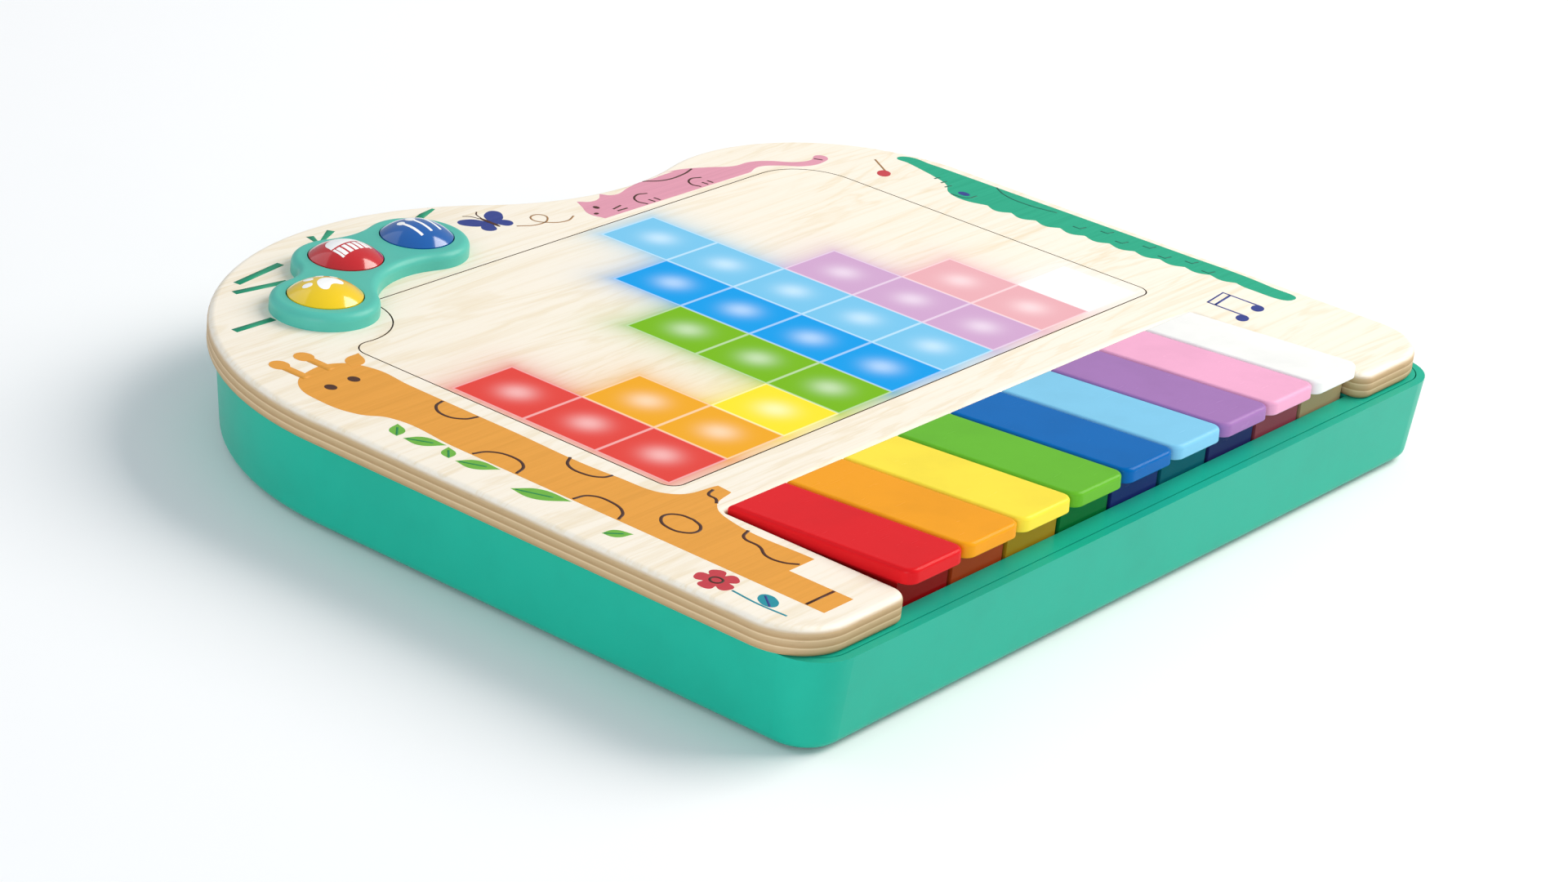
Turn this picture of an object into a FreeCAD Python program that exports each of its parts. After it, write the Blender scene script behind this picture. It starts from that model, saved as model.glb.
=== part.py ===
import FreeCAD, Part
import math
import os

import Sketcher
from FreeCAD import Vector

# Toy electronic keyboard: a wooden top on a moulded tub, nine hinged keys and three push buttons.
# Frame: +X along the keys (the player's right), +Y away from the player, +Z up.
# The origin is on the table, at the middle of the keyboard's box seen from above.
os.makedirs("parts", exist_ok=True)
doc = FreeCAD.newDocument("ToyKeyboard")

SIZES = {
    "plate_width": (310, "wooden top, left to right"),
    "plate_depth": (272, "wooden top, front edge to the back of the left lobe"),
    "plate_thick": (8, "plywood thickness"),
    "plate_top": (35.5, "top face above the table"),
    "plate_round": (2.2, "rounding of the top's upper edge"),
    "plate_soft": (1.4, "rounding of the top's lower edge"),
    "left_lobe": (100, "radius of the back left lobe"),
    "right_lobe": (62, "radius of the back right lobe"),
    "right_depth": (244, "front edge to the back of the right lobe"),
    "hollow_radius": (90, "radius of the hollow between the lobes"),
    "left_corner": (17, "front left corner radius"),
    "right_corner": (20, "front right corner radius"),
    "front_proud": (3.8, "how far the tub stands in front of the top"),
    "rim_overhang": (2.5, "how far the top stands out past the tub's sides"),
    "base_wall": (2.6, "tub wall"),
    "base_floor": (2.6, "tub floor"),
    "base_corner": (14, "tub front corner radius"),
    "base_draft": (5.4, "slope of the tub's walls, degrees"),
    "base_round": (3, "rounding of the tub's lower edge"),
    "foot_proud": (1, "how far the feet stand below the tub"),
    "foot_radius": (7, "rubber foot radius"),
    "foot_thick": (2.4, "rubber foot thickness"),
    "deck_thick": (2.5, "upper case thickness"),
    "fit_gap": (0.35, "gap round a piece that drops in"),
    "key_pitch": (24.5, "key to key"),
    "key_gap": (0.5, "gap between two keys"),
    "key_front": (1.5, "front of the key caps behind the top's front edge"),
    "key_back": (62, "back of the key caps"),
    "bay_back": (62.6, "back of the key notch in the top"),
    "bay_width": (222.8, "width of the key notch"),
    "bay_corner": (5, "rounding of the arms beside the notch"),
    "cap_thick": (4.4, "key cap thickness"),
    "cap_back_top": (36.5, "cap top at its back edge, above the table"),
    "cap_rise": (3.5, "rise of the cap's top towards the player"),
    "cap_corner": (3.6, "front corners of a key cap"),
    "cap_round": (1.2, "rounding of a cap's upper edges"),
    "skirt_width": (22.5, "key body below the cap"),
    "skirt_front": (6.2, "front of the key body"),
    "skirt_bottom": (24, "lower edge of the key body"),
    "skirt_wall": (1.6, "wall of the key body"),
    "tail_width": (22.3, "hinge end of a key"),
    "shaft_back": (70, "hinge shaft behind the top's front edge"),
    "shaft_height": (23.3, "hinge shaft above the table"),
    "shaft_radius": (1.25, "hinge shaft radius"),
    "shaft_play": (0.05, "running clearance round a shaft or screw"),
    "barrel_radius": (2.6, "hinge barrel of a key"),
    "rail_lug": (1.2, "thickness of a hinge rail lug"),
    "plunger_back": (25, "key plunger behind the top's front edge"),
    "plunger_bottom": (14.6, "lower end of a key plunger"),
    "panel_left": (-112.5, "left edge of the light panel"),
    "panel_right": (116, "right edge of the light panel"),
    "panel_front": (79.2, "front edge of the light panel"),
    "panel_back": (219.2, "back edge of the light panel"),
    "panel_corner": (5, "front corners of the light panel"),
    "panel_turn": (20, "back right corner of the light panel"),
    "panel_thick": (1.2, "veneer thickness"),
    "panel_ledge": (1.5, "ledge that carries the veneer"),
    "panel_groove": (0.45, "groove round the veneer"),
    "notch_x": (-103, "middle of the panel's notch beside the buttons"),
    "notch_back": (218, "middle of the panel's notch behind the front edge"),
    "notch_radius": (19, "radius of the panel's notch"),
    "notch_soft": (6, "rounding where the notch meets the panel's side"),
    "cell_depth": (26.4, "depth of one light cell"),
    "cell_front": (82, "front of the first row of light cells"),
    "grid_wall": (1.2, "wall between light cells"),
    "grid_bottom": (24, "underside of the light grid"),
    "diffuser_thick": (1, "diffuser film"),
    "puck_radius": (16, "lobe of the button housing"),
    "puck_thick": (5, "height of the button housing"),
    "puck_round": (2.4, "rounding of the button housing"),
    "puck_wall": (1.8, "wall of the button housing"),
    "button_radius": (11, "button radius"),
    "button_rise": (4.2, "height of a button's dome"),
    "button_flange": (12.4, "retaining flange of a button"),
    "button_stem": (3, "button stem radius"),
    "board_thick": (1.6, "circuit board thickness"),
    "cell_radius": (7.1, "battery cell radius"),
    "cell_length": (49.2, "battery cell length without its nub"),
    "cell_step": (14.8, "battery cell to battery cell"),
    "bay_front": (120, "front of the battery box"),
    "bay_length": (58, "length of the battery box"),
    "door_length": (72, "length of the battery door"),
    "door_width": (51, "width of the battery door"),
    "door_thick": (2.2, "thickness of the battery door"),
    "post_radius": (4, "screw post radius"),
    "screw_radius": (1.4, "case screw radius"),
    "head_radius": (2.8, "case screw head radius"),
    "speaker_x": (130, "middle of the speaker"),
    "speaker_back": (64, "middle of the speaker behind the front edge"),
    "speaker_radius": (16.5, "speaker rim radius"),
    "switch_x": (-132, "middle of the power switch"),
    "switch_back": (60, "middle of the power switch behind the front edge"),
    "switch_travel": (5, "travel of the power switch"),
}
KEYS = ["red", "orange", "yellow", "green", "blue", "sky", "purple", "pink", "white"]
ROWS = 5
BUTTONS = {"yellow": (-99, 222.5), "red": (-73.5, 239.5), "blue": (-44, 239)}
POSTS = [(-138, 20), (138, 20), (-138, 110), (138, 110), (-132, 195), (132, 196), (-20, 248), (95, 230)]
FEET = [(-134, 38), (134, 38), (-118, 212), (112, 212)]
BOARD_POSTS = [(-105, 88), (105, 88), (-45, 88), (45, 88), (-105, 184), (105, 209), (-20, 209), (45, 209)]

sheet = doc.addObject("Spreadsheet::Sheet", "Sizes")
for row, (alias, (value, meaning)) in enumerate(SIZES.items(), start=1):
    sheet.set(f"A{row}", meaning)
    sheet.set(f"B{row}", str(value))
    sheet.setAlias(f"B{row}", alias)
doc.recompute()


class Size:
    """A length that knows both its value and the sheet expression it comes from."""

    def __init__(self, value, text):
        self.value = float(value)
        self.text = text

    def __float__(self):
        return self.value

    def __neg__(self):
        return Size(-self.value, f"(0 - {self.text})")

    def __add__(self, other):
        other = size(other)
        return Size(self.value + other.value, f"({self.text} + {other.text})")

    def __sub__(self, other):
        other = size(other)
        return Size(self.value - other.value, f"({self.text} - {other.text})")

    def __mul__(self, other):
        other = size(other)
        return Size(self.value * other.value, f"({self.text} * {other.text})")

    def __truediv__(self, other):
        other = size(other)
        return Size(self.value / other.value, f"({self.text} / {other.text})")

    __radd__ = __add__
    __rmul__ = __mul__

    def __rsub__(self, other):
        return size(other) - self


def size(thing):
    """A plain number as a Size."""
    if isinstance(thing, Size):
        return thing
    return Size(thing, f"({float(thing)})")


class Named:
    """The sheet's cells as Sizes, by alias."""

    def __getattr__(self, alias):
        return Size(sheet.get(alias), f"Sizes.{alias}")


s = Named()
FRONT = (s.front_proud - s.plate_depth) / 2
PLATE_BOTTOM = s.plate_top - s.plate_thick
FLOOR = s.foot_proud + s.base_floor
DECK_BOTTOM = PLATE_BOTTOM - s.deck_thick
HALF_KEYS = s.key_pitch * len(KEYS) / 2
CELLS_BACK = s.cell_front + s.cell_depth * ROWS
parts = []


# ---- helpers ---------------------------------------------------------------------------------

def bind(thing, path, value):
    """Tie one property of an object to the sheet."""
    thing.setExpression(path, size(value).text)


def place(thing, x, y, z):
    bind(thing, "Placement.Base.x", x)
    bind(thing, "Placement.Base.y", y)
    bind(thing, "Placement.Base.z", z)


def block(name, x, y, z):
    """A box between two values on each axis; y is measured back from the top's front edge."""
    box = doc.addObject("Part::Box", name)
    bind(box, "Length", size(x[1]) - x[0])
    bind(box, "Width", size(y[1]) - y[0])
    bind(box, "Height", size(z[1]) - z[0])
    place(box, x[0], FRONT + y[0], z[0])
    return box


def rod(name, x, y, z, radius):
    """An upright cylinder."""
    cylinder = doc.addObject("Part::Cylinder", name)
    bind(cylinder, "Radius", radius)
    bind(cylinder, "Height", size(z[1]) - z[0])
    place(cylinder, x, FRONT + y, z[0])
    return cylinder


def cross_rod(name, x, y, z, radius):
    """A cylinder along X."""
    cylinder = doc.addObject("Part::Cylinder", name)
    cylinder.Placement.Rotation = FreeCAD.Rotation(Vector(0, 1, 0), 90)
    bind(cylinder, "Radius", radius)
    bind(cylinder, "Height", size(x[1]) - x[0])
    place(cylinder, x[0], FRONT + y, z)
    return cylinder


def lying_rod(name, x, y, z, radius):
    """A cylinder along Y."""
    cylinder = doc.addObject("Part::Cylinder", name)
    cylinder.Placement.Rotation = FreeCAD.Rotation(Vector(1, 0, 0), -90)
    bind(cylinder, "Radius", radius)
    bind(cylinder, "Height", size(y[1]) - y[0])
    place(cylinder, x, FRONT + y[0], z)
    return cylinder


def cone(name, x, y, z, low, high):
    """An upright cone frustum with its low and high radii."""
    frustum = doc.addObject("Part::Cone", name)
    bind(frustum, "Radius1", low)
    bind(frustum, "Radius2", high)
    bind(frustum, "Height", size(z[1]) - z[0])
    place(frustum, x, FRONT + y, z[0])
    return frustum


def join(name, items):
    fused = doc.addObject("Part::MultiFuse", name)
    fused.Shapes = list(items)
    fused.Refine = True
    return fused


def cut(name, base, tools):
    tools = list(tools)
    result = doc.addObject("Part::Cut", name)
    result.Base = base
    result.Tool = tools[0] if len(tools) == 1 else join(name + "_tools", tools)
    result.Refine = True
    return result


def group(name, items):
    """Like pieces that share one node, each its own solid."""
    together = doc.addObject("Part::Compound", name)
    together.Links = list(items)
    return together


def part(name, thing):
    """Marks an object as a sub-part: its label names its file."""
    thing.Label = name
    parts.append(thing)
    return thing


def new_body(name):
    return doc.addObject("PartDesign::Body", name)


def sketch_on(body, name, plane, offset=0):
    """A sketch on one of the body's own origin planes, lifted along its normal."""
    sketch = body.newObject("Sketcher::SketchObject", name)
    origin_plane = [item for item in body.Origin.OriginFeatures if item.Role == plane][0]
    sketch.AttachmentSupport = [(origin_plane, "")]
    sketch.MapMode = "FlatFace"
    bind(sketch, "AttachmentOffset.Base.z", offset)
    return sketch


def tie(sketch, name, kind, *where):
    """Adds a dimension to a sketch and ties it to the sheet, unless the others already settle it."""
    value = size(where[-1])
    index = sketch.addConstraint(Sketcher.Constraint(kind, *where[:-1], value.value))
    if sketch.solve() != 0:
        sketch.delConstraint(index)
        return
    sketch.renameConstraint(index, name)
    bind(sketch, "Constraints." + name, value)


def heading(piece, at_end):
    """Direction in which a loop runs at one end of a piece, as an angle."""
    if piece[0] == "line":
        return angle(piece[1], piece[2])
    first, last, forward = piece[3:]
    turn = math.pi / 2 if forward else -math.pi / 2
    return (last if at_end == forward else first) + turn


def draw_loop(sketch, path):
    """Draws a closed loop of ("line", start, end) and ("arc", middle, radius, from, to, forward) pieces.

    An arc runs counter-clockwise from its first angle to its second one; forward says whether the
    loop follows it that way. Pieces that meet smoothly are held tangent. Radii, middles and corners
    are tied to the sheet as far as the sketch leaves them free.
    """
    ends = []
    for piece in path:
        if piece[0] == "line":
            start = Vector(float(piece[1][0]), float(piece[1][1]), 0)
            end = Vector(float(piece[2][0]), float(piece[2][1]), 0)
            index = sketch.addGeometry(Part.LineSegment(start, end))
            ends.append((index, 1, 2))
        else:
            _, middle, radius, first, last, forward = piece
            centre = Vector(float(middle[0]), float(middle[1]), 0)
            circle = Part.Circle(centre, Vector(0, 0, 1), float(radius))
            index = sketch.addGeometry(Part.ArcOfCircle(circle, first, last))
            ends.append((index, 1, 2) if forward else (index, 2, 1))
    for number in range(len(path)):
        following = (number + 1) % len(path)
        gap = heading(path[number], True) - heading(path[following], False)
        smooth = abs(math.remainder(gap, 2 * math.pi)) < 1e-4
        kind = "Tangent" if smooth else "Coincident"
        joint = (ends[number][0], ends[number][2], ends[following][0], ends[following][1])
        sketch.addConstraint(Sketcher.Constraint(kind, *joint))
    for number, piece in enumerate(path):
        if piece[0] == "arc":
            tie(sketch, f"radius{number}", "Radius", number, piece[2])
    for number, piece in enumerate(path):
        if piece[0] == "arc":
            tie(sketch, f"middle_x{number}", "DistanceX", -1, 1, number, 3, piece[1][0])
            tie(sketch, f"middle_y{number}", "DistanceY", -1, 1, number, 3, piece[1][1])
    for number, piece in enumerate(path):
        if piece[0] == "line":
            tie(sketch, f"start_x{number}", "DistanceX", -1, 1, number, 1, piece[1][0])
            tie(sketch, f"start_y{number}", "DistanceY", -1, 1, number, 1, piece[1][1])


def polygon(sketch, points):
    """Draws a closed polygon through the points."""
    path = [("line", start, end) for start, end in zip(points, points[1:] + points[:1])]
    draw_loop(sketch, path)


def between(first, first_radius, second, second_radius, radius):
    """Middle of an arc that touches two circles from outside, to the left of the way from first to second."""
    across = [float(second[0]) - float(first[0]), float(second[1]) - float(first[1])]
    span = math.hypot(*across)
    reach_one = float(first_radius) + float(radius)
    reach_two = float(second_radius) + float(radius)
    along = (span ** 2 + reach_one ** 2 - reach_two ** 2) / (2 * span)
    aside = math.sqrt(reach_one ** 2 - along ** 2)
    unit = [across[0] / span, across[1] / span]
    return (
        float(first[0]) + unit[0] * along - unit[1] * aside,
        float(first[1]) + unit[1] * along + unit[0] * aside,
    )


def angle(start, end):
    return math.atan2(float(end[1]) - float(start[1]), float(end[0]) - float(start[0]))


def keyboard_outline(sketch, inset, front, left_corner, right_corner):
    """The top's outline, moved inwards: two front corners, two back lobes and the hollow between them."""
    side = s.plate_width / 2 - inset
    left = (s.left_lobe - s.plate_width / 2, FRONT + s.plate_depth - s.left_lobe)
    right = (s.plate_width / 2 - s.right_lobe, FRONT + s.right_depth - s.right_lobe)
    hollow = between(left, s.left_lobe, right, s.right_lobe, s.hollow_radius)
    left_turn = angle(left, hollow)
    right_turn = angle(right, hollow)
    corner_left = (-side + left_corner, front + left_corner)
    corner_right = (side - right_corner, front + right_corner)
    quarter = math.pi / 2
    draw_loop(sketch, [
        ("line", (-side, left[1]), (-side, corner_left[1])),
        ("arc", corner_left, left_corner, 2 * quarter, 3 * quarter, True),
        ("line", (corner_left[0], front), (corner_right[0], front)),
        ("arc", corner_right, right_corner, 3 * quarter, 4 * quarter, True),
        ("line", (side, corner_right[1]), (side, right[1])),
        ("arc", right, s.right_lobe - inset, 0, right_turn, True),
        ("arc", hollow, s.hollow_radius + inset, left_turn + math.pi, right_turn + math.pi, False),
        ("arc", left, s.left_lobe - inset, left_turn, math.pi, True),
    ])


def panel_outline(sketch, inset):
    """The light panel's outline, moved inwards, with a notch beside the buttons at its back left."""
    left = s.panel_left + inset
    right = s.panel_right - inset
    near = FRONT + s.panel_front + inset
    far = FRONT + s.panel_back - inset
    corner = s.panel_corner - inset
    turn = s.panel_turn - inset
    soft = s.notch_soft - inset
    notch = (s.notch_x, FRONT + s.notch_back)
    bite = s.notch_radius + inset
    quarter = math.pi / 2
    drop = math.sqrt((bite.value + soft.value) ** 2 - (left.value + soft.value - notch[0].value) ** 2)
    middle = (left + soft, notch[1] - drop)
    lean = angle(notch, middle) % (4 * quarter)
    reach = math.asin((far.value - notch[1].value) / bite.value)
    meets = notch[0].value + bite.value * math.cos(reach)
    draw_loop(sketch, [
        ("line", (left, middle[1]), (left, near + corner)),
        ("arc", (left + corner, near + corner), corner, 2 * quarter, 3 * quarter, True),
        ("line", (left + corner, near), (right - corner, near)),
        ("arc", (right - corner, near + corner), corner, 3 * quarter, 4 * quarter, True),
        ("line", (right, near + corner), (right, far - turn)),
        ("arc", (right - turn, far - turn), turn, 0, quarter, True),
        ("line", (right - turn, far), (meets, far)),
        ("arc", notch, bite, lean, reach + 4 * quarter, False),
        ("arc", middle, soft, lean - 2 * quarter, 2 * quarter, True),
    ])


def puck_outline(sketch, inset):
    """Three lobes round the buttons with smooth waists between them."""
    middles = {name: (x, FRONT + y) for name, (x, y) in BUTTONS.items()}
    lobe = s.puck_radius - inset
    order = ["blue", "red", "yellow"]
    waists = {"blue": 26, "red": 12, "yellow": 30}
    hollows = {}
    for name, following in zip(order, order[1:] + order[:1]):
        waist = waists[name] + inset
        found = between(middles[following], s.puck_radius, middles[name], s.puck_radius, waists[name])
        hollows[name] = (following, found, waist)
    path = []
    for name in order:
        previous = order[order.index(name) - 1]
        following, found, waist = hollows[name]
        start = angle(middles[name], hollows[previous][1])
        stop = angle(middles[name], found)
        path.append(("arc", middles[name], lobe, start, stop if stop > start else stop + 2 * math.pi, True))
        opening = angle(found, middles[following])
        closing = angle(found, middles[name])
        if closing < opening:
            closing += 2 * math.pi
        path.append(("arc", found, waist, opening, closing, False))
    draw_loop(sketch, path)


def pad(body, sketch, length, slope=None):
    """Raises a sketch's outline; with a slope it goes down instead and its walls lean inwards."""
    feature = body.newObject("PartDesign::Pad", sketch.Name + "_pad")
    feature.Profile = sketch
    bind(feature, "Length", length)
    if slope is not None:
        feature.Reversed = True
        bind(feature, "TaperAngle", -slope)
    return feature


def pocket(body, sketch, length, upwards=False, slope=None):
    """Cuts a sketch's outline down into the body, or upwards from below, with upright or leaning walls."""
    before = body.Tip.Shape.Volume
    feature = body.newObject("PartDesign::Pocket", sketch.Name + "_pocket")
    feature.Profile = sketch
    feature.Reversed = upwards
    bind(feature, "Length", length)
    if slope is not None:
        bind(feature, "TaperAngle", -slope)
    doc.recompute()
    if not feature.Shape.Volume < before - 1:
        raise RuntimeError(f"{feature.Name} cuts nothing")
    return feature


def soften(body, name, radius, wanted):
    """Rounds the edges of the body's last feature that the test picks."""
    doc.recompute()
    base = body.Tip
    edges = [f"Edge{number}" for number, edge in enumerate(base.Shape.Edges, start=1) if wanted(edge)]
    if not edges:
        raise RuntimeError(f"{name} finds no edges")
    feature = body.newObject("PartDesign::Fillet", name)
    feature.Base = (base, edges)
    bind(feature, "Radius", radius)
    return feature


def at_height(height):
    """A test for edges that lie flat at one height."""
    level = float(height)
    return lambda edge: abs(edge.BoundBox.ZMin - level) < 1e-4 and abs(edge.BoundBox.ZMax - level) < 1e-4


def upright_at(points):
    """A test for upright edges that pass one of the points."""
    def wanted(edge):
        box = edge.BoundBox
        upright = box.ZLength > 0.5 and box.XLength < 1e-3 and box.YLength < 1e-3
        return upright and any(math.hypot(box.XMin - float(x), box.YMin - float(y)) < 0.01 for x, y in points)
    return wanted


# ---- wooden top and light panel --------------------------------------------------------------

def make_top_plate():
    body = new_body("top_plate_body")
    outline = sketch_on(body, "top_outline", "XY_Plane", PLATE_BOTTOM)
    keyboard_outline(outline, size(0), FRONT, s.left_corner, s.right_corner)
    pad(body, outline, s.plate_thick)
    half = s.bay_width / 2
    back = FRONT + s.bay_back
    bay = sketch_on(body, "key_notch", "XY_Plane", s.plate_top)
    polygon(bay, [(-half, FRONT - 5), (half, FRONT - 5), (half, back), (-half, back)])
    doc.recompute()
    pocket(body, bay, s.plate_thick)
    soften(body, "arm_corners", s.bay_corner, upright_at([(-half, FRONT), (half, FRONT)]))
    soften(body, "bay_corners", 2, upright_at([(-half, back), (half, back)]))
    soften(body, "upper_edge", s.plate_round, at_height(s.plate_top))
    soften(body, "lower_edge", s.plate_soft, at_height(PLATE_BOTTOM))
    doc.recompute()
    recess = sketch_on(body, "panel_recess", "XY_Plane", s.plate_top)
    panel_outline(recess, size(0))
    pocket(body, recess, s.panel_thick + 0.1)
    window = sketch_on(body, "light_window", "XY_Plane", s.plate_top)
    panel_outline(window, s.panel_ledge)
    pocket(body, window, s.plate_thick)
    holes = [
        rod(f"{name}_button_way", x, y, (PLATE_BOTTOM - 1, s.plate_top + 1), s.button_flange + 0.8)
        for name, (x, y) in BUTTONS.items()
    ]
    pilot = s.screw_radius + s.shaft_play
    holes += [rod("pilot", x, y, (PLATE_BOTTOM - 1, PLATE_BOTTOM + 5.2), pilot) for x, y in POSTS]
    part("top_plate", cut("top_plate", body, holes))


def make_light_panel():
    body = new_body("light_panel")
    outline = sketch_on(body, "veneer_outline", "XY_Plane", s.plate_top - s.panel_thick)
    panel_outline(outline, s.panel_groove)
    pad(body, outline, s.panel_thick)
    part("light_panel", body)


def make_diffuser():
    body = new_body("light_diffuser")
    film_bottom = s.plate_top - s.panel_thick - 0.1 - s.diffuser_thick
    outline = sketch_on(body, "film_outline", "XY_Plane", film_bottom)
    panel_outline(outline, s.panel_ledge + 0.3)
    pad(body, outline, s.diffuser_thick)
    part("light_diffuser", body)


def make_light_grid():
    wall = s.grid_wall / 2
    height = (s.grid_bottom, s.plate_top - s.panel_thick - 0.15 - s.diffuser_thick)
    walls = []
    for column in range(len(KEYS) + 1):
        x = s.key_pitch * column - HALF_KEYS
        across = (x - wall, x + wall)
        walls.append(block("grid_wall", across, (s.cell_front - wall, CELLS_BACK + wall), height))
    for row in range(ROWS + 1):
        y = s.cell_front + s.cell_depth * row
        walls.append(block("grid_wall", (-HALF_KEYS - wall, HALF_KEYS + wall), (y - wall, y + wall), height))
    body = new_body("grid_limit")
    outline = sketch_on(body, "grid_limit_outline", "XY_Plane", height[0])
    panel_outline(outline, s.panel_ledge + 0.2)
    pad(body, outline, height[1] - height[0])
    grid = doc.addObject("Part::Common", "light_grid")
    grid.Base = join("grid_walls", walls)
    grid.Tool = body
    part("light_grid", grid)


def make_led_board():
    top = s.grid_bottom
    side = HALF_KEYS + 0.6
    board = block("led_board_blank", (-side, side), (s.cell_front - 0.6, CELLS_BACK + 0.6),
                  (top - s.board_thick, top))
    bite = rod("board_bite", s.notch_x, s.notch_back, (top - 3, top + 1), s.notch_radius + 2.3)
    holes = [rod("board_hole", x, y, (top - 3, top + 1), 1.3) for x, y in BOARD_POSTS]
    part("led_board", cut("led_board", board, [bite] + holes))


def make_leds():
    lamps = []
    for column in range(len(KEYS)):
        for row in range(ROWS):
            if column == 0 and row == ROWS - 1:
                continue
            x = s.key_pitch * (column + 0.5) - HALF_KEYS
            y = s.cell_front + s.cell_depth * (row + 0.5)
            height = (s.grid_bottom, s.grid_bottom + 1.6)
            lamps.append(block("led", (x - 2.5, x + 2.5), (y - 2.5, y + 2.5), height))
    part("leds", group("leds", lamps))


# ---- keys ------------------------------------------------------------------------------------

def make_key(number, colour):
    """One key: a rounded cap on a hollow body, with a hinge barrel behind and a plunger below."""
    name = f"key_{colour}"
    left = (s.key_gap - s.key_pitch) / 2
    tilt = math.degrees(math.atan2(s.cap_rise.value, s.key_back.value - s.key_front.value))
    body = new_body(name + "_cap")
    outline = sketch_on(body, name + "_cap_outline", "XY_Plane")
    length = (s.key_back - s.key_front) / math.cos(math.radians(tilt))
    corner = s.cap_corner
    quarter = math.pi / 2
    draw_loop(outline, [
        ("line", (left, 0), (left, corner - length)),
        ("arc", (left + corner, corner - length), corner, 2 * quarter, 3 * quarter, True),
        ("line", (left + corner, -length), (-left - corner, -length)),
        ("arc", (-left - corner, corner - length), corner, 3 * quarter, 4 * quarter, True),
        ("line", (-left, corner - length), (-left, 0)),
        ("line", (-left, 0), (left, 0)),
    ])
    pad(body, outline, s.cap_thick)
    soften(body, name + "_upper_edges", s.cap_round, at_height(s.cap_thick))
    soften(body, name + "_lower_edges", 0.5, at_height(0))
    body.Placement = FreeCAD.Placement(Vector(0, 0, 0), FreeCAD.Rotation(Vector(1, 0, 0), -tilt))
    place(body, 0, FRONT + s.key_back, s.cap_back_top - s.cap_thick)
    half = s.skirt_width / 2
    tail = s.tail_width / 2
    wall = s.skirt_wall
    under_cap = s.cap_back_top - s.cap_thick
    skirt = block(name + "_skirt", (-half, half), (s.skirt_front, s.key_back - 0.6),
                  (s.skirt_bottom, under_cap + 3.8))
    room = block(name + "_room", (wall - half, half - wall), (s.skirt_front + wall, s.key_back - 0.6 - wall),
                 (s.skirt_bottom - 1, under_cap - 0.6))
    shell = cut(name + "_shell", skirt, [room])
    low = s.shaft_height - s.barrel_radius
    high = s.shaft_height + s.barrel_radius
    arm = block(name + "_arm", (-tail, tail), (s.key_back - 2.2, s.shaft_back), (low, high))
    barrel = cross_rod(name + "_barrel", (-tail, tail), s.shaft_back, s.shaft_height, s.barrel_radius)
    plunger = block(name + "_plunger", (-4, 4), (s.plunger_back - 1.5, s.plunger_back + 1.5),
                    (s.plunger_bottom, under_cap + 0.4))
    solid = join(name + "_solid", [body, shell, arm, barrel, plunger])
    bore = cross_rod(name + "_bore", (-tail - 1, tail + 1), s.shaft_back, s.shaft_height,
                     s.shaft_radius + s.shaft_play)
    key = cut(name, solid, [bore])
    bind(key, "Placement.Base.x", s.key_pitch * (number + 0.5) - HALF_KEYS)
    part(name, key)


def make_hinge():
    reach = HALF_KEYS + 2
    shaft = cross_rod("key_shaft", (-reach, reach), s.shaft_back, s.shaft_height, s.shaft_radius)
    part("key_shaft", shaft)
    tall = (FLOOR, DECK_BOTTOM - 0.1)
    wall = block("rail_wall", (-reach, reach), (s.shaft_back + 4, s.shaft_back + 7), tall)
    foot = block("rail_foot", (-reach, reach), (s.shaft_back - 2, s.shaft_back + 5), (FLOOR, FLOOR + 2))
    pieces = [wall, foot]
    for number in range(len(KEYS) + 1):
        x = s.key_pitch * number - HALF_KEYS
        half = s.rail_lug / 2
        pieces.append(block("rail_lug", (x - half, x + half), (s.shaft_back - 3, s.shaft_back + 4),
                            (s.shaft_height - 5, PLATE_BOTTOM - 0.6)))
    bore = cross_rod("rail_bore", (-HALF_KEYS - 3, HALF_KEYS + 3), s.shaft_back, s.shaft_height,
                     s.shaft_radius + s.shaft_play)
    part("hinge_rail", cut("hinge_rail", join("rail_blank", pieces), [bore]))


def make_key_contacts():
    top = FLOOR + 4.2 + s.board_thick
    part("key_board", block("key_board", (-110, 110), (12, 48), (FLOOR + 4.2, top)))
    strip = block("strip_sheet", (-109, 109), (17, 33), (top, top + 0.8))
    domes = []
    for number in range(len(KEYS)):
        x = s.key_pitch * (number + 0.5) - HALF_KEYS
        domes.append(cone("strip_dome", x, s.plunger_back, (top + 0.4, s.plunger_bottom - 2.6), 4.5, 3))
    part("key_dome_strip", join("key_dome_strip", [strip] + domes))


# ---- buttons ---------------------------------------------------------------------------------

def make_puck():
    body = new_body("puck_body")
    outline = sketch_on(body, "puck_outline", "XY_Plane", s.plate_top)
    puck_outline(outline, size(0))
    pad(body, outline, s.puck_thick)
    soften(body, "puck_upper_edge", s.puck_round, at_height(s.plate_top + s.puck_thick))
    doc.recompute()
    room = sketch_on(body, "puck_room", "XY_Plane", s.plate_top)
    puck_outline(room, s.puck_wall)
    pocket(body, room, s.puck_thick - s.puck_wall, upwards=True)
    through = (s.plate_top, s.plate_top + s.puck_thick + 1)
    way = s.button_radius + 0.35
    holes = [rod(f"{name}_button_hole", x, y, through, way) for name, (x, y) in BUTTONS.items()]
    part("button_housing", cut("button_housing", body, holes))


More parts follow.
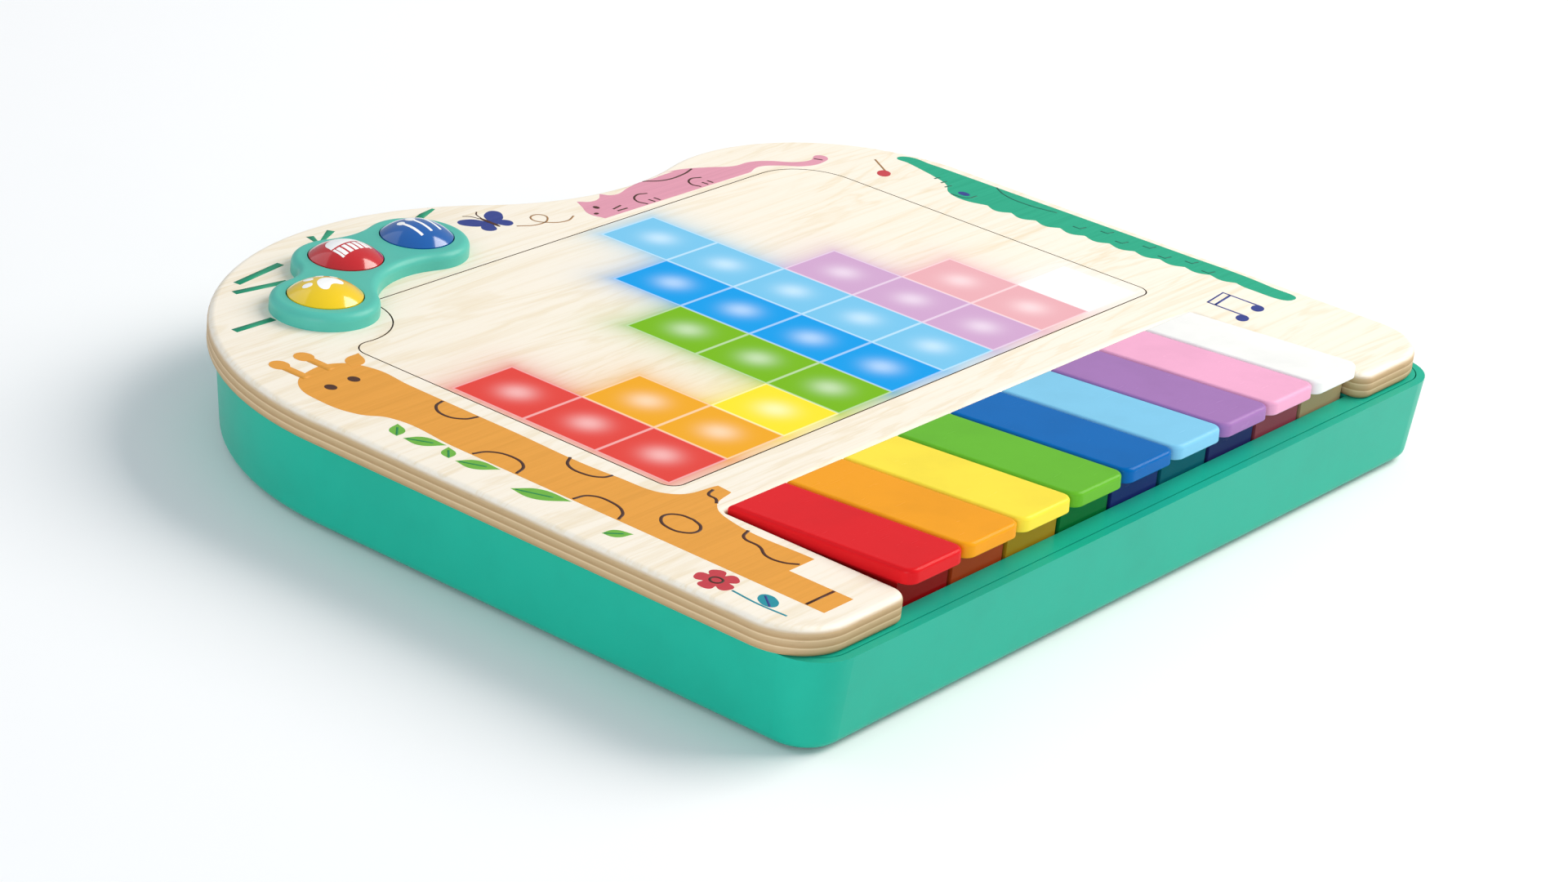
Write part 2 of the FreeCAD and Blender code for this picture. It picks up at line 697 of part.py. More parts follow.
def make_button(colour):
    """A domed button turned about its own axis: dome, rim, retaining flange and stem."""
    x, y = BUTTONS[colour]
    name = f"button_{colour}"
    body = new_body(name)
    profile = sketch_on(body, name + "_profile", "XZ_Plane")
    rim = s.plate_top + s.puck_thick + 0.2
    flange = s.plate_top + s.puck_thick - s.puck_wall - 0.2
    top = rim + s.button_rise
    dome = (s.button_radius * s.button_radius + s.button_rise * s.button_rise) / (s.button_rise * 2)
    lean = math.asin(s.button_radius.value / dome.value)
    stem_end = DECK_BOTTOM - 0.4
    quarter = math.pi / 2
    draw_loop(profile, [
        ("line", (0, top), (0, stem_end)),
        ("line", (0, stem_end), (s.button_stem, stem_end)),
        ("line", (s.button_stem, stem_end), (s.button_stem, flange - 1.2)),
        ("line", (s.button_stem, flange - 1.2), (s.button_flange, flange - 1.2)),
        ("line", (s.button_flange, flange - 1.2), (s.button_flange, flange)),
        ("line", (s.button_flange, flange), (s.button_radius, flange)),
        ("line", (s.button_radius, flange), (s.button_radius, rim)),
        ("arc", (0, top - dome), dome, quarter - lean, quarter, True),
    ])
    turned = body.newObject("PartDesign::Revolution", name + "_turned")
    turned.Profile = profile
    turned.ReferenceAxis = (profile, ["V_Axis"])
    turned.Angle = 360
    place(body, x, FRONT + y, 0)
    part(name, body)


def make_button_board():
    top = DECK_BOTTOM - 4.3
    board = block("button_board", (-109, -32), (218.5, 246), (top - s.board_thick, top))
    part("button_board", board)
    switches = []
    for name, (x, y) in BUTTONS.items():
        case = block("tact_case", (x - 3, x + 3), (y - 3, y + 3), (top, top + 1.6))
        cap = rod("tact_cap", x, y, (top + 1.4, DECK_BOTTOM - 2.2), 1.7)
        switches.append(join(f"tact_{name}", [case, cap]))
    part("button_switches", group("button_switches", switches))


# ---- case ------------------------------------------------------------------------------------

def make_lower_case():
    body = new_body("tub_body")
    outline = sketch_on(body, "tub_outline", "XY_Plane", PLATE_BOTTOM)
    base_front = FRONT - s.front_proud
    keyboard_outline(outline, s.rim_overhang, base_front, s.base_corner, s.base_corner)
    pad(body, outline, PLATE_BOTTOM - s.foot_proud, slope=s.base_draft)
    soften(body, "tub_lower_edge", s.base_round, at_height(s.foot_proud))
    doc.recompute()
    room = sketch_on(body, "tub_room", "XY_Plane", PLATE_BOTTOM)
    inner = s.base_corner - s.base_wall
    keyboard_outline(room, s.rim_overhang + s.base_wall, base_front + s.base_wall, inner, inner)
    pocket(body, room, PLATE_BOTTOM - FLOOR, slope=s.base_draft)
    added = [rod("case_post", x, y, (FLOOR - 0.5, DECK_BOTTOM), s.post_radius) for x, y in POSTS]
    under_leds = s.grid_bottom - s.board_thick
    added += [rod("board_post", x, y, (FLOOR - 0.5, under_leds), 3) for x, y in BOARD_POSTS]
    for x, y in [(-104, 15), (0, 15), (104, 15), (-104, 45), (0, 45), (104, 45)]:
        added.append(rod("contact_post", x, y, (FLOOR - 0.5, FLOOR + 4.2), 2.5))
    for x, y in [(-108, 245), (-38, 222), (-60, 222)]:
        added.append(rod("button_post", x, y, (FLOOR - 0.5, DECK_BOTTOM - 4.3 - s.board_thick), 2.5))
    for x, y in [(-143, 34), (-117, 34), (-143, 94), (-117, 94)]:
        added.append(rod("main_post", x, y, (FLOOR - 0.5, FLOOR + 5), 2.2))
    solid = join("tub_solid", [body] + added)
    taken = [rod("screw_way", x, y, (0, DECK_BOTTOM + 1), s.screw_radius + 0.2) for x, y in POSTS]
    taken += [rod("head_way", x, y, (0, FLOOR + 3), s.head_radius + 0.2) for x, y in POSTS]
    taken += [rod("board_screw_way", x, y, (under_leds - 6, under_leds + 1), 1.05) for x, y in BOARD_POSTS]
    taken += [rod("foot_recess", x, y, (0, s.foot_thick), s.foot_radius + 0.1) for x, y in FEET]
    door = s.door_width / 2 + 0.3
    taken.append(block("door_way", (-door, door), (s.bay_front - 2.3, s.bay_front - 1.7 + s.door_length),
                       (0, FLOOR + 0.5)))
    taken.append(block("switch_slot", (s.switch_x - 2.4, s.switch_x + 2.4),
                       (s.switch_back - 3, s.switch_back + 3 + s.switch_travel), (0, FLOOR + 1)))
    taken.append(rod("speaker_hole", s.speaker_x, s.speaker_back, (0, FLOOR + 1), 1.2))
    for ring, count in ((5, 6), (10, 12)):
        for step in range(count):
            turn = 2 * math.pi * step / count
            taken.append(rod("speaker_hole", s.speaker_x + ring * math.cos(turn),
                             s.speaker_back + ring * math.sin(turn), (0, FLOOR + 1), 1.2))
    part("lower_case", cut("lower_case", solid, taken))


def make_upper_case():
    body = new_body("deck_body")
    outline = sketch_on(body, "deck_outline", "XY_Plane", DECK_BOTTOM)
    inset = s.rim_overhang + s.base_wall + s.fit_gap
    front = FRONT - s.front_proud + s.base_wall + s.fit_gap
    corner = s.base_corner - s.base_wall - s.fit_gap
    keyboard_outline(outline, inset, front, corner, corner)
    pad(body, outline, s.deck_thick)
    doc.recompute()
    window = sketch_on(body, "deck_window", "XY_Plane", PLATE_BOTTOM)
    panel_outline(window, s.panel_ledge)
    pocket(body, window, s.deck_thick)
    half = s.bay_width / 2 + 0.8
    taken = [block("key_opening", (-half, half), (s.skirt_front - 0.7, s.shaft_back + 4.5),
                   (DECK_BOTTOM - 1, PLATE_BOTTOM + 1))]
    for x, y in BUTTONS.values():
        taken.append(rod("stem_way", x, y, (DECK_BOTTOM - 1, PLATE_BOTTOM + 1), s.button_stem + 2))
    for x, y in POSTS:
        taken.append(rod("deck_screw_way", x, y, (DECK_BOTTOM - 1, PLATE_BOTTOM + 1), s.screw_radius + 0.2))
    part("upper_case", cut("upper_case", body, taken))


def make_feet():
    feet = [rod("foot", x, y, (0, s.foot_thick), s.foot_radius) for x, y in FEET]
    part("rubber_feet", group("rubber_feet", feet))


def make_screws():
    screws = []
    for x, y in POSTS:
        head = rod("case_head", x, y, (FLOOR + 1, FLOOR + 3), s.head_radius)
        shank = rod("case_shank", x, y, (FLOOR + 2.5, PLATE_BOTTOM + 5), s.screw_radius)
        screws.append(join("case_screw", [head, shank]))
    part("case_screws", group("case_screws", screws))
    top = s.grid_bottom
    screws = []
    for x, y in BOARD_POSTS:
        head = rod("board_head", x, y, (top, top + 1.3), 2.1)
        shank = rod("board_shank", x, y, (top - 6, top + 0.5), 1)
        screws.append(join("board_screw", [head, shank]))
    part("board_screws", group("board_screws", screws))


# ---- batteries -------------------------------------------------------------------------------

def make_batteries():
    half = s.cell_step * 3 / 2 + 1.6
    front = s.bay_front
    back = s.bay_front + s.bay_length
    outer = block("box_outer", (-half, half), (front, back), (FLOOR, 19.7))
    room = block("box_room", (1.2 - half, half - 1.2), (front + 1.2, back - 1.2), (FLOOR - 1, 18.7))
    ear = block("box_ear", (-6, 6), (back - 1, back + 11), (FLOOR, FLOOR + 10))
    bore = rod("ear_bore", 0, back + 6, (FLOOR - 1, FLOOR + 8.5), s.screw_radius + s.shaft_play)
    part("battery_box", cut("battery_box", join("box_blank", [outer, ear]), [room, bore]))
    height = FLOOR + 0.4 + s.cell_radius
    middle = front + s.bay_length / 2
    start = middle - s.cell_length / 2
    for number, side in enumerate(("left", "middle", "right")):
        x = s.cell_step * (number - 1)
        can = lying_rod(f"cell_can_{side}", x, (start, start + s.cell_length), height, s.cell_radius)
        nub_from = start + s.cell_length - 0.2 if number % 2 == 0 else start - 1.2
        nub = lying_rod(f"cell_nub_{side}", x, (nub_from, nub_from + 1.4), height, 2.7)
        part(f"battery_cell_{side}", join(f"battery_cell_{side}", [can, nub]))
    blades = []
    for number in range(3):
        x = s.cell_step * (number - 1)
        for y in (front + 1.3, back - 1.7):
            blades.append(block("contact_blade", (x - 5, x + 5), (y, y + 0.4), (height - 5, height + 5)))
    part("battery_contacts", group("battery_contacts", blades))


def make_battery_door():
    half = s.door_width / 2
    front = s.bay_front - 2
    back = front + s.door_length
    screw_y = s.bay_front + s.bay_length + 6
    leaf = block("door_leaf", (-half, half), (front, back), (s.foot_proud, s.foot_proud + s.door_thick))
    grips = [
        block("door_grip", (-14, 14), (front + 6 + 3.5 * step, front + 7.5 + 3.5 * step),
              (s.foot_proud - 1, s.foot_proud + 0.6))
        for step in range(3)
    ]
    hole = rod("door_hole", 0, screw_y, (0, FLOOR + 1), s.screw_radius + s.shaft_play)
    sink = rod("door_sink", 0, screw_y, (0, s.foot_proud + 1.2), 3)
    part("battery_door", cut("battery_door", leaf, grips + [hole, sink]))
    head = rod("door_screw_head", 0, screw_y, (s.foot_proud + 0.1, s.foot_proud + 1.2), s.head_radius)
    shank = rod("door_screw_shank", 0, screw_y, (s.foot_proud + 1, FLOOR + 7), s.screw_radius)
    slot_across = block("door_slot", (-2, 2), (screw_y - 0.3, screw_y + 0.3), (0, s.foot_proud + 0.6))
    part("door_screw", cut("door_screw", join("door_screw_blank", [head, shank]), [slot_across]))


# ---- electronics -----------------------------------------------------------------------------

def make_main_board():
    top = FLOOR + 5 + s.board_thick
    part("main_board", block("main_board", (-145.5, -114.5), (31, 98), (FLOOR + 5, top)))
    part("sound_chip", cone("sound_chip", -132, 80, (top, top + 1.8), 6, 4.5))
    cans = [rod("capacitor", x, y, (top, top + 7), 2.5) for x, y in ((-142, 42), (-142, 50), (-124, 44))]
    part("capacitors", group("capacitors", cans))


def make_power_switch():
    x = s.switch_x
    y = s.switch_back
    end = y + s.switch_travel
    case = block("switch_case", (x - 4.5, x + 4.5), (y - 5, end + 5), (FLOOR + 1.6, FLOOR + 5))
    slot = block("switch_room", (x - 1.7, x + 1.7), (y - 2.2, end + 2.2), (FLOOR, FLOOR + 3.6))
    part("power_switch_body", cut("power_switch_body", case, [slot]))
    knob = block("knob_grip", (x - 2, x + 2), (y - 2.4, y + 2.4), (s.foot_proud + 0.3, FLOOR + 1.2))
    neck = block("knob_neck", (x - 1.3, x + 1.3), (y - 1.6, y + 1.6), (FLOOR + 1, FLOOR + 3.2))
    part("power_switch_knob", join("power_switch_knob", [knob, neck]))


def make_speaker():
    x = s.speaker_x
    y = s.speaker_back
    rim = s.speaker_radius
    low = FLOOR + 0.1
    flange = rod("speaker_flange", x, y, (low, low + 1.2), rim)
    basket = cone("speaker_basket", x, y, (low + 1, low + 6.4), rim - 1.6, 9)
    hollow = cone("speaker_hollow", x, y, (low + 0.9, low + 5.6), rim - 2.8, 7.6)
    mouth = rod("speaker_mouth", x, y, (low - 1, low + 1), rim - 2.8)
    part("speaker_frame", cut("speaker_frame", join("speaker_blank", [flange, basket]), [hollow, mouth]))
    part("speaker_magnet", rod("speaker_magnet", x, y, (low + 6.4, low + 11), 9.5))
    outer = cone("paper_outer", x, y, (low + 1.1, low + 5), rim - 3.4, 7)
    inner = cone("paper_inner", x, y, (low + 0.5, low + 4.4), rim - 3.4, 7)
    part("speaker_cone", cut("speaker_cone", outer, [inner]))


def check_document():
    """Stops if any object failed or any sub-part is empty or broken."""
    doc.recompute()
    failed = [thing.Name for thing in doc.Objects if "Invalid" in thing.State or "Error" in thing.State]
    if failed:
        raise RuntimeError(f"failed objects: {failed}")
    for thing in parts:
        if thing.Shape.isNull() or not thing.Shape.isValid() or not thing.Shape.Solids:
            raise RuntimeError(f"{thing.Label} has no valid solid")
    labels = [thing.Label for thing in parts]
    if len(set(labels)) != len(labels):
        raise RuntimeError("two sub-parts share a label")


make_top_plate()
make_light_panel()
make_diffuser()
make_light_grid()
make_led_board()
make_leds()
for key_number, key_colour in enumerate(KEYS):
    make_key(key_number, key_colour)
make_hinge()
make_key_contacts()
make_puck()
for button_colour in BUTTONS:
    make_button(button_colour)
make_button_board()
make_lower_case()
make_upper_case()
make_feet()
make_screws()
make_batteries()
make_battery_door()
make_main_board()
make_power_switch()
make_speaker()
check_document()
for thing in parts:
    thing.Shape.exportStep(f"parts/{thing.Label}.step")
    print(thing.Label, len(thing.Shape.Solids), round(thing.Shape.Volume, 1))
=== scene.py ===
"""Dresses the packed toy keyboard for rendering: wood, light window, keys, buttons, prints and stage.

Everything is in metres in the keyboard's own frame: X along the keys, Y away from the player, Z up.
"""

import math

import bmesh
import bpy
from bpy.props import FloatProperty, FloatVectorProperty, IntProperty, PointerProperty
from bpy.types import Operator, Panel, PropertyGroup
from mathutils import Matrix, Vector
from mathutils.bvhtree import BVHTree


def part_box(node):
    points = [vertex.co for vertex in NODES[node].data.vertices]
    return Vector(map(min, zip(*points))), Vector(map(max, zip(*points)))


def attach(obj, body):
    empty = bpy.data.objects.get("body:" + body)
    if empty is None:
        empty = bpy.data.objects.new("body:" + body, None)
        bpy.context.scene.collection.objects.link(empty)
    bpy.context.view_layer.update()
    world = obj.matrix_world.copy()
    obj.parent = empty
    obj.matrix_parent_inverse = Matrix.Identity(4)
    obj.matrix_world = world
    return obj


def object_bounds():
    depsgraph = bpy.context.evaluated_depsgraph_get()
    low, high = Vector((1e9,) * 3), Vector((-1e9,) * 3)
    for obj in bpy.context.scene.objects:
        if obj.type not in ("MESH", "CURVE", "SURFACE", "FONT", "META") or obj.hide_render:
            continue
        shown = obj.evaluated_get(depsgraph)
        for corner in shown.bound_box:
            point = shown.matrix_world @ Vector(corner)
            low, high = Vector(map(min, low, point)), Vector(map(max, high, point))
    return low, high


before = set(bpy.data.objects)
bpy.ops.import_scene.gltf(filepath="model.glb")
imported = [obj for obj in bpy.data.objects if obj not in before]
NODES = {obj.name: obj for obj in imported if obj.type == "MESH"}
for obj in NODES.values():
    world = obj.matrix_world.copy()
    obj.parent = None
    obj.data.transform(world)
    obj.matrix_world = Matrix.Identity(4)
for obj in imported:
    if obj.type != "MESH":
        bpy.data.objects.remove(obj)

bl_info = {
    "name": "Toy keyboard looks",
    "version": (1, 0, 0),
    "blender": (4, 5, 0),
    "location": "View3D > Sidebar > Toy keyboard",
    "description": "Wood, light window, keys, buttons, prints and stage for the toy keyboard",
    "category": "Object",
}

CAD_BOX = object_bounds()
MM = 0.001
WHITE = (1.0, 1.0, 1.0, 1.0)
BLACK = (0.0, 0.0, 0.0, 1.0)
SHARP = "sharp"
CASE = "case"
KEY_NAMES = ("red", "orange", "yellow", "green", "blue", "sky", "purple", "pink", "white")
LIT_CELLS = dict(zip(KEY_NAMES, (3, 2, 1, 3, 4, 5, 3, 2, 1)))
OVAL_POINTS = 8
INKS = {
    "orange": "E9A03A",
    "brown": "4A2412",
    "leaf": "6FB53C",
    "fern": "1F8A4C",
    "crimson": "C93A45",
    "teal": "1590A0",
    "reed": "1C9C74",
    "navy": "2C3C8C",
    "pink": "E39BB0",
    "jade": "12A883",
    "moss": "0B6A55",
    "tan": "A97C4C",
}
# Name, place in metres, size in metres, setting with its power, colour
LIGHTS = (
    ("key light", (1.2, -0.7, 1.2), 1.3, "key_light", "FFF9F0"),
    ("fill light", (-1.5, -0.6, 0.3), 0.9, "fill_light", "F4FAFF"),
    ("rim light", (-0.5, 1.3, 0.9), 1.4, "rim_light", "F2F7FF"),
)


def tone(code):
    """The linear colour of a web colour code."""
    parts = [int(code[i : i + 2], 16) / 255 for i in (0, 2, 4)]
    return tuple(p / 12.92 if p <= 0.04045 else ((p + 0.055) / 1.055) ** 2.4 for p in parts)


def solid(colour):
    """A colour with its alpha, as colour sockets take it."""
    return (*colour, 1.0)


def shaded(colour, share):
    """The colour with each part multiplied by share."""
    return tuple(part * share for part in colour)


def colour_property(name, code, about):
    wanted = {"subtype": "COLOR", "size": 3, "min": 0, "max": 1, "default": tone(code)}
    return FloatVectorProperty(name=name, description=about, **wanted)


def length_property(name, size, about):
    wanted = {"subtype": "DISTANCE", "unit": "LENGTH", "precision": 5, "default": size}
    return FloatProperty(name=name, description=about, **wanted)


def angle_property(name, degrees, about):
    wanted = {"subtype": "ANGLE", "unit": "ROTATION", "default": math.radians(degrees)}
    return FloatProperty(name=name, description=about, **wanted)


def power_property(name, watts, about):
    return FloatProperty(name=name, description=about, unit="POWER", min=0, default=watts)


def share_property(name, share, about):
    return FloatProperty(name=name, description=about, subtype="FACTOR", min=0, default=share)


# ---------------------------------------------------------------------------------------------------
# What a user would change


class ToyKeyboardColours(PropertyGroup):
    """Colours of the case, the buttons and the wood."""

    button_yellow: colour_property("Yellow button", "F3CC00", "Colour of the yellow button")
    button_red: colour_property("Red button", "C9161F", "Colour of the red button")
    button_blue: colour_property("Blue button", "005CAE", "Colour of the blue button")
    mark: colour_property("Button marks", "FFFFFF", "Colour of the marks printed on the buttons")
    case: colour_property("Case", "1CB096", "Colour of the tub and the deck")
    housing: colour_property("Button housing", "56BDAD", "Colour of the raised button housing")
    birch: colour_property("Birch", "FAF1E2", "Pale wood between the grain lines")
    grain: colour_property("Grain", "E9D5B0", "Darker wood of the grain lines")
    ply: colour_property("Plies", "AF8E62", "End grain seen in the rim of the top")
    glue_line: colour_property("Pale plies", "DCC29B", "Pale plies seen in the rim of the top")
    # Painted shade: this dark colour on the walls of the cut round the window stands for the shade in the
    # groove.
    groove_shade: colour_property("Cut edge", "5E4630", "Browned edge of the cut round the window")


class ToyKeyboardKeys(PropertyGroup):
    """Colours of the keys, and the size of their caps."""

    red: colour_property("Red key", "E01B22", "Cap of the red key")
    orange: colour_property("Orange key", "F5A21B", "Cap of the orange key")
    yellow: colour_property("Yellow key", "FDE545", "Cap of the yellow key")
    green: colour_property("Green key", "68B92E", "Cap of the green key")
    blue: colour_property("Blue key", "0068B6", "Cap of the dark blue key")
    sky: colour_property("Light blue key", "82C9EB", "Cap of the light blue key")
    purple: colour_property("Purple key", "A477B6", "Cap of the purple key")
    pink: colour_property("Pink key", "F3AED0", "Cap of the pink key")
    white: colour_property("White key", "F6F6F4", "Cap of the white key")
    # These colours are painted shade: darker copies of the caps' colours, for the key bodies that sit in
    # shade below the caps.
    shaded_skirt_red: colour_property("Red skirt", "9E1214", "Below the cap of the red key")
    shaded_skirt_orange: colour_property("Orange skirt", "B5461C", "Below the cap of the orange key")
    shaded_skirt_yellow: colour_property("Yellow skirt", "B8901F", "Below the cap of the yellow key")
    shaded_skirt_green: colour_property("Green skirt", "0C7A3A", "Below the cap of the green key")
    shaded_skirt_blue: colour_property("Blue skirt", "22347A", "Below the cap of the dark blue key")
    shaded_skirt_sky: colour_property("Light blue skirt", "0E6878", "Below the cap of the light blue key")
    shaded_skirt_purple: colour_property("Purple skirt", "2C306E", "Below the cap of the purple key")
    shaded_skirt_pink: colour_property("Pink skirt", "A04A58", "Below the cap of the pink key")
    shaded_skirt_white: colour_property("White skirt", "B89E78", "Below the cap of the white key")
    cap_rise: length_property("Cap rise", 3.5 * MM, "How far a key's cap rises towards the player")
    cap_depth: length_property("Cap depth", 60.5 * MM, "Length of a key's cap")
    cap_thick: length_property("Cap thickness", 4.6 * MM, "From the cap's top to its skirt")
    blur: length_property("Blur", 0.4 * MM, "How softly the cap's colour turns into the skirt's")


class ToyKeyboardWindow(PropertyGroup):
    """The glowing window."""

    front_margin: length_property("Front margin", 2.8 * MM, "From the window's front edge to its cells")
    row_pitch: length_property("Row pitch", 26.4 * MM, "Depth of one cell")
    divider: length_property("Divider", 0.45 * MM, "Half the width of the pale line between cells")
    spot: length_property("Bright spot", 5.2 * MM, "Reach of the bright spot over each lamp")
    halo: length_property("Halo", 5.2 * MM, "Reach of the soft glow beyond the lit cells")
    edge: length_property("Cell edge", 0.3 * MM, "How softly a lit column ends")
    halo_share: share_property("Halo strength", 0.62, "How much of the glow shows beside a lit cell")
    tint: share_property("Tint", 0.5, "How bright the veneer itself is under a light, against the light")
    strength: share_property("Glow", 0.46, "Strength of the lit cells")
    red: colour_property("Red light", "E9483F", "Light of the red column")
    orange: colour_property("Orange light", "F7AE22", "Light of the orange column")
    yellow: colour_property("Yellow light", "FFEC2E", "Light of the yellow column")
    green: colour_property("Green light", "7CBE10", "Light of the green column")
    blue: colour_property("Blue light", "00A2F0", "Light of the dark blue column")
    sky: colour_property("Light blue light", "7CCBF3", "Light of the light blue column")
    purple: colour_property("Purple light", "D6ABD4", "Light of the purple column")
    pink: colour_property("Pink light", "F2B4BC", "Light of the pink column")
    white: colour_property("White light", "FFFFFF", "Light of the white column")


class ToyKeyboardPrints(PropertyGroup):
    """The printed pictures."""

    ink: length_property("Ink", 0.03 * MM, "How far one layer of ink stands proud")
    base: length_property("Ink depth", 0.02 * MM, "How far the ink goes into the surface")
    dome_cuts: IntProperty(name="Cuts on domes", description="Halvings of ink on a dome", default=3)
    curve_steps: IntProperty(name="Curve steps", description="Steps from point to point", default=10, min=2)


class ToyKeyboardStage(PropertyGroup):
    """Camera, lights and floor."""

    lens: FloatProperty(name="Lens", description="Focal length", unit="CAMERA", default=91.63)
    azimuth: angle_property("Azimuth", -53.6086, "Camera's angle round the keyboard")
    elevation: angle_property("Elevation", 23.7767, "Camera's angle above the floor")
    roll: angle_property("Roll", 6.3454, "Camera's lean to one side")
    distance: length_property("Distance", 1.09401, "From the camera to the point it looks at")
    aim: FloatVectorProperty(
        name="Aim",
        description="The point the camera looks at",
        subtype="TRANSLATION",
        unit="LENGTH",
        size=3,
        default=(-0.06396, -0.05375, 0.0355),
    )
    floor: colour_property("Floor", "F9FAFC", "Colour of the floor")
    sky: colour_property("Room", "E9F1F8", "Colour of the light from all round")
    sky_strength: share_property("Room light", 0.47, "Strength of the light from all round")
    key_light: power_property("Key light", 36.0, "Power of the large soft light")
    fill_light: power_property("Fill light", 12.0, "Power of the low light at the left")
    rim_light: power_property("Rim light", 4.0, "Power of the light behind")


# ---------------------------------------------------------------------------------------------------
# Materials


class Value:
    """One output of a material's nodes. Python's operators on it add Math nodes."""

    def __init__(self, finish, socket):
        self.finish = finish
        self.socket = socket

    def maths(self, operation, *others):
        inputs = dict(enumerate((self, *others)))
        return self.finish.node("ShaderNodeMath", {"operation": operation}, inputs)

    def __add__(self, other):
        return self.maths("ADD", other)

    __radd__ = __add__

    def __sub__(self, other):
        return self.maths("SUBTRACT", other)

    def __rsub__(self, other):
        return (self * -1.0) + other

    def __mul__(self, other):
        return self.maths("MULTIPLY", other)

    __rmul__ = __mul__

    def __truediv__(self, other):
        return self.maths("DIVIDE", other)

    def __rtruediv__(self, other):
        return (self ** -1.0) * other

    def __pow__(self, other):
        return self.maths("POWER", other)

    def __abs__(self):
        return self.maths("ABSOLUTE")

    def __lt__(self, other):
        return self.maths("LESS_THAN", other)

    def __gt__(self, other):
        return self.maths("GREATER_THAN", other)

    def at_least(self, other):
        return self.maths("MAXIMUM", other)

    def at_most(self, other):
        return self.maths("MINIMUM", other)

    def part(self):
        """What is left after the whole number."""
        return self.maths("FRACT")

    def falling(self, reach):
        """1 at 0, dying away over reach."""
        return (self * (-1.0 / reach)).maths("EXPONENT")

    def rising(self, low, high):
        """0 below low, 1 above high, smooth in between."""
        settings = {"interpolation_type": "SMOOTHSTEP"}
        inputs = {"Value": self, "From Min": low, "From Max": high}
        return self.finish.node("ShaderNodeMapRange", settings, inputs)


class Finish:
    """A material in the making: a Principled shader and the nodes that feed it."""

    def __init__(self, name, constants):
        self.material = bpy.data.materials.new(name)
        self.material.use_nodes = True
        self.tree = self.material.node_tree
        self.shader = self.tree.nodes["Principled BSDF"]
        for socket, constant in constants.items():
            self.shader.inputs[socket].default_value = constant
        self.fed = {}
        self.place = self.node("ShaderNodeTexCoord", {}, {}, "Object")
        self.x, self.y, self.z = (self.coordinate(axis) for axis in "XYZ")

    def node(self, kind, settings, inputs, output=0):
        """Adds a node, makes its settings, feeds its inputs and gives back one of its outputs."""
        made = self.tree.nodes.new(kind)
        for name, setting in settings.items():
            if name == "stops":
                self.set_stops(made.color_ramp, setting)
            else:
                setattr(made, name, setting)
        for name, source in inputs.items():
            if isinstance(source, Value):
                self.tree.links.new(source.socket, made.inputs[name])
            else:
                made.inputs[name].default_value = source
        return Value(self, made.outputs[output])

    def coordinate(self, axis):
        return self.node("ShaderNodeSeparateXYZ", {}, {0: self.place}, axis)

    @staticmethod
    def set_stops(ramp, stops):
        while len(ramp.elements) < len(stops):
            ramp.elements.new(1.0)
        for element, (position, colour) in zip(ramp.elements, stops):
            element.position = position
            element.color = solid(colour)

    def normal_z(self):
        """How far the surface faces up."""
        normal = self.node("ShaderNodeNewGeometry", {}, {}, "Normal")
        return self.node("ShaderNodeSeparateXYZ", {}, {0: normal}, "Z")

    def noise(self, scales, detail=4.0, roughness=0.5, distortion=0.0):
        """Noise from 0 to 1 with its own scale along X, Y and Z, in waves a metre."""
        stretched = self.node("ShaderNodeVectorMath", {"operation": "MULTIPLY"}, {0: self.place, 1: scales})
        shape = {"Scale": 1.0, "Detail": detail, "Roughness": roughness, "Distortion": distortion}
        return self.node("ShaderNodeTexNoise", {}, {"Vector": stretched, **shape}, "Fac")

    def mix(self, below, above, share):
        """Two colours mixed: below where share is 0, above where it is 1."""
        return self.node("ShaderNodeMix", {"data_type": "RGBA"}, {0: share, 6: below, 7: above}, 2)

    def ramp(self, share, stops):
        return self.node("ShaderNodeValToRGB", {"stops": stops}, {"Fac": share}, "Color")

    def feed(self, socket, source):
        """Feeds one of the shader's sockets, and keeps what feeds it in fed."""
        self.tree.links.new(source.socket, self.shader.inputs[socket])
        self.fed[socket] = source

    def emboss(self, height, depth):
        """Raises the surface by height times depth, in metres."""
        self.feed("Normal", self.node("ShaderNodeBump", {}, {"Height": height, "Distance": depth}))

    def dress(self, *names):
        """Gives the material to CAD nodes, in place of what they came with."""
        for name in names:
            NODES[name].data.materials.clear()
            NODES[name].data.materials.append(self.material)


def moulded(name, colour, roughness, coat=0.0, texture=0.012 * MM, specular=0.4):
    """Moulded plastic: a faint mottle of the pigment, a fine moulded texture and slight handling marks."""
    wanted = {"Specular IOR Level": specular, "Coat Weight": coat, "Coat Roughness": 0.06}
    finish = Finish(name, wanted)
    mottle = finish.noise((42, 42, 42), 5.0, 0.6)
    pale, dark = solid(colour), solid(shaded(colour, 0.93))
    finish.feed("Base Color", finish.mix(dark, pale, mottle.rising(0.25, 0.62)))
    scuffs = finish.noise((90, 900, 300), 3.0, 0.7).rising(0.62, 0.8)
    finish.feed("Roughness", scuffs * 0.05 + mottle * 0.06 + (roughness - 0.03))
    finish.emboss(finish.noise((2600, 2600, 2600), 2.0), texture)
    return finish


def birch(finish, pale, dark, warmth=1.0):
    """The colour of birch sawn along X, and the height of its grain."""
    figure = finish.noise((5, 46, 46), 5.0, 0.55, 0.9)
    lines = finish.noise((11, 520, 520), 4.0, 0.65)
    flame = (figure * 7.0).part()
    bands = (abs(flame - 0.5) * 2.0).rising(0.55, 1.0)
    pores = finish.noise((130, 2400, 2400), 2.0, 0.5).rising(0.66, 0.76)
    share = (bands * 0.34 + lines.rising(0.42, 0.8) * 0.4 + pores * 0.22) * warmth
    return finish.mix(solid(pale), solid(dark), share), lines - pores * 0.8


# ---------------------------------------------------------------------------------------------------
# Meshes of ink


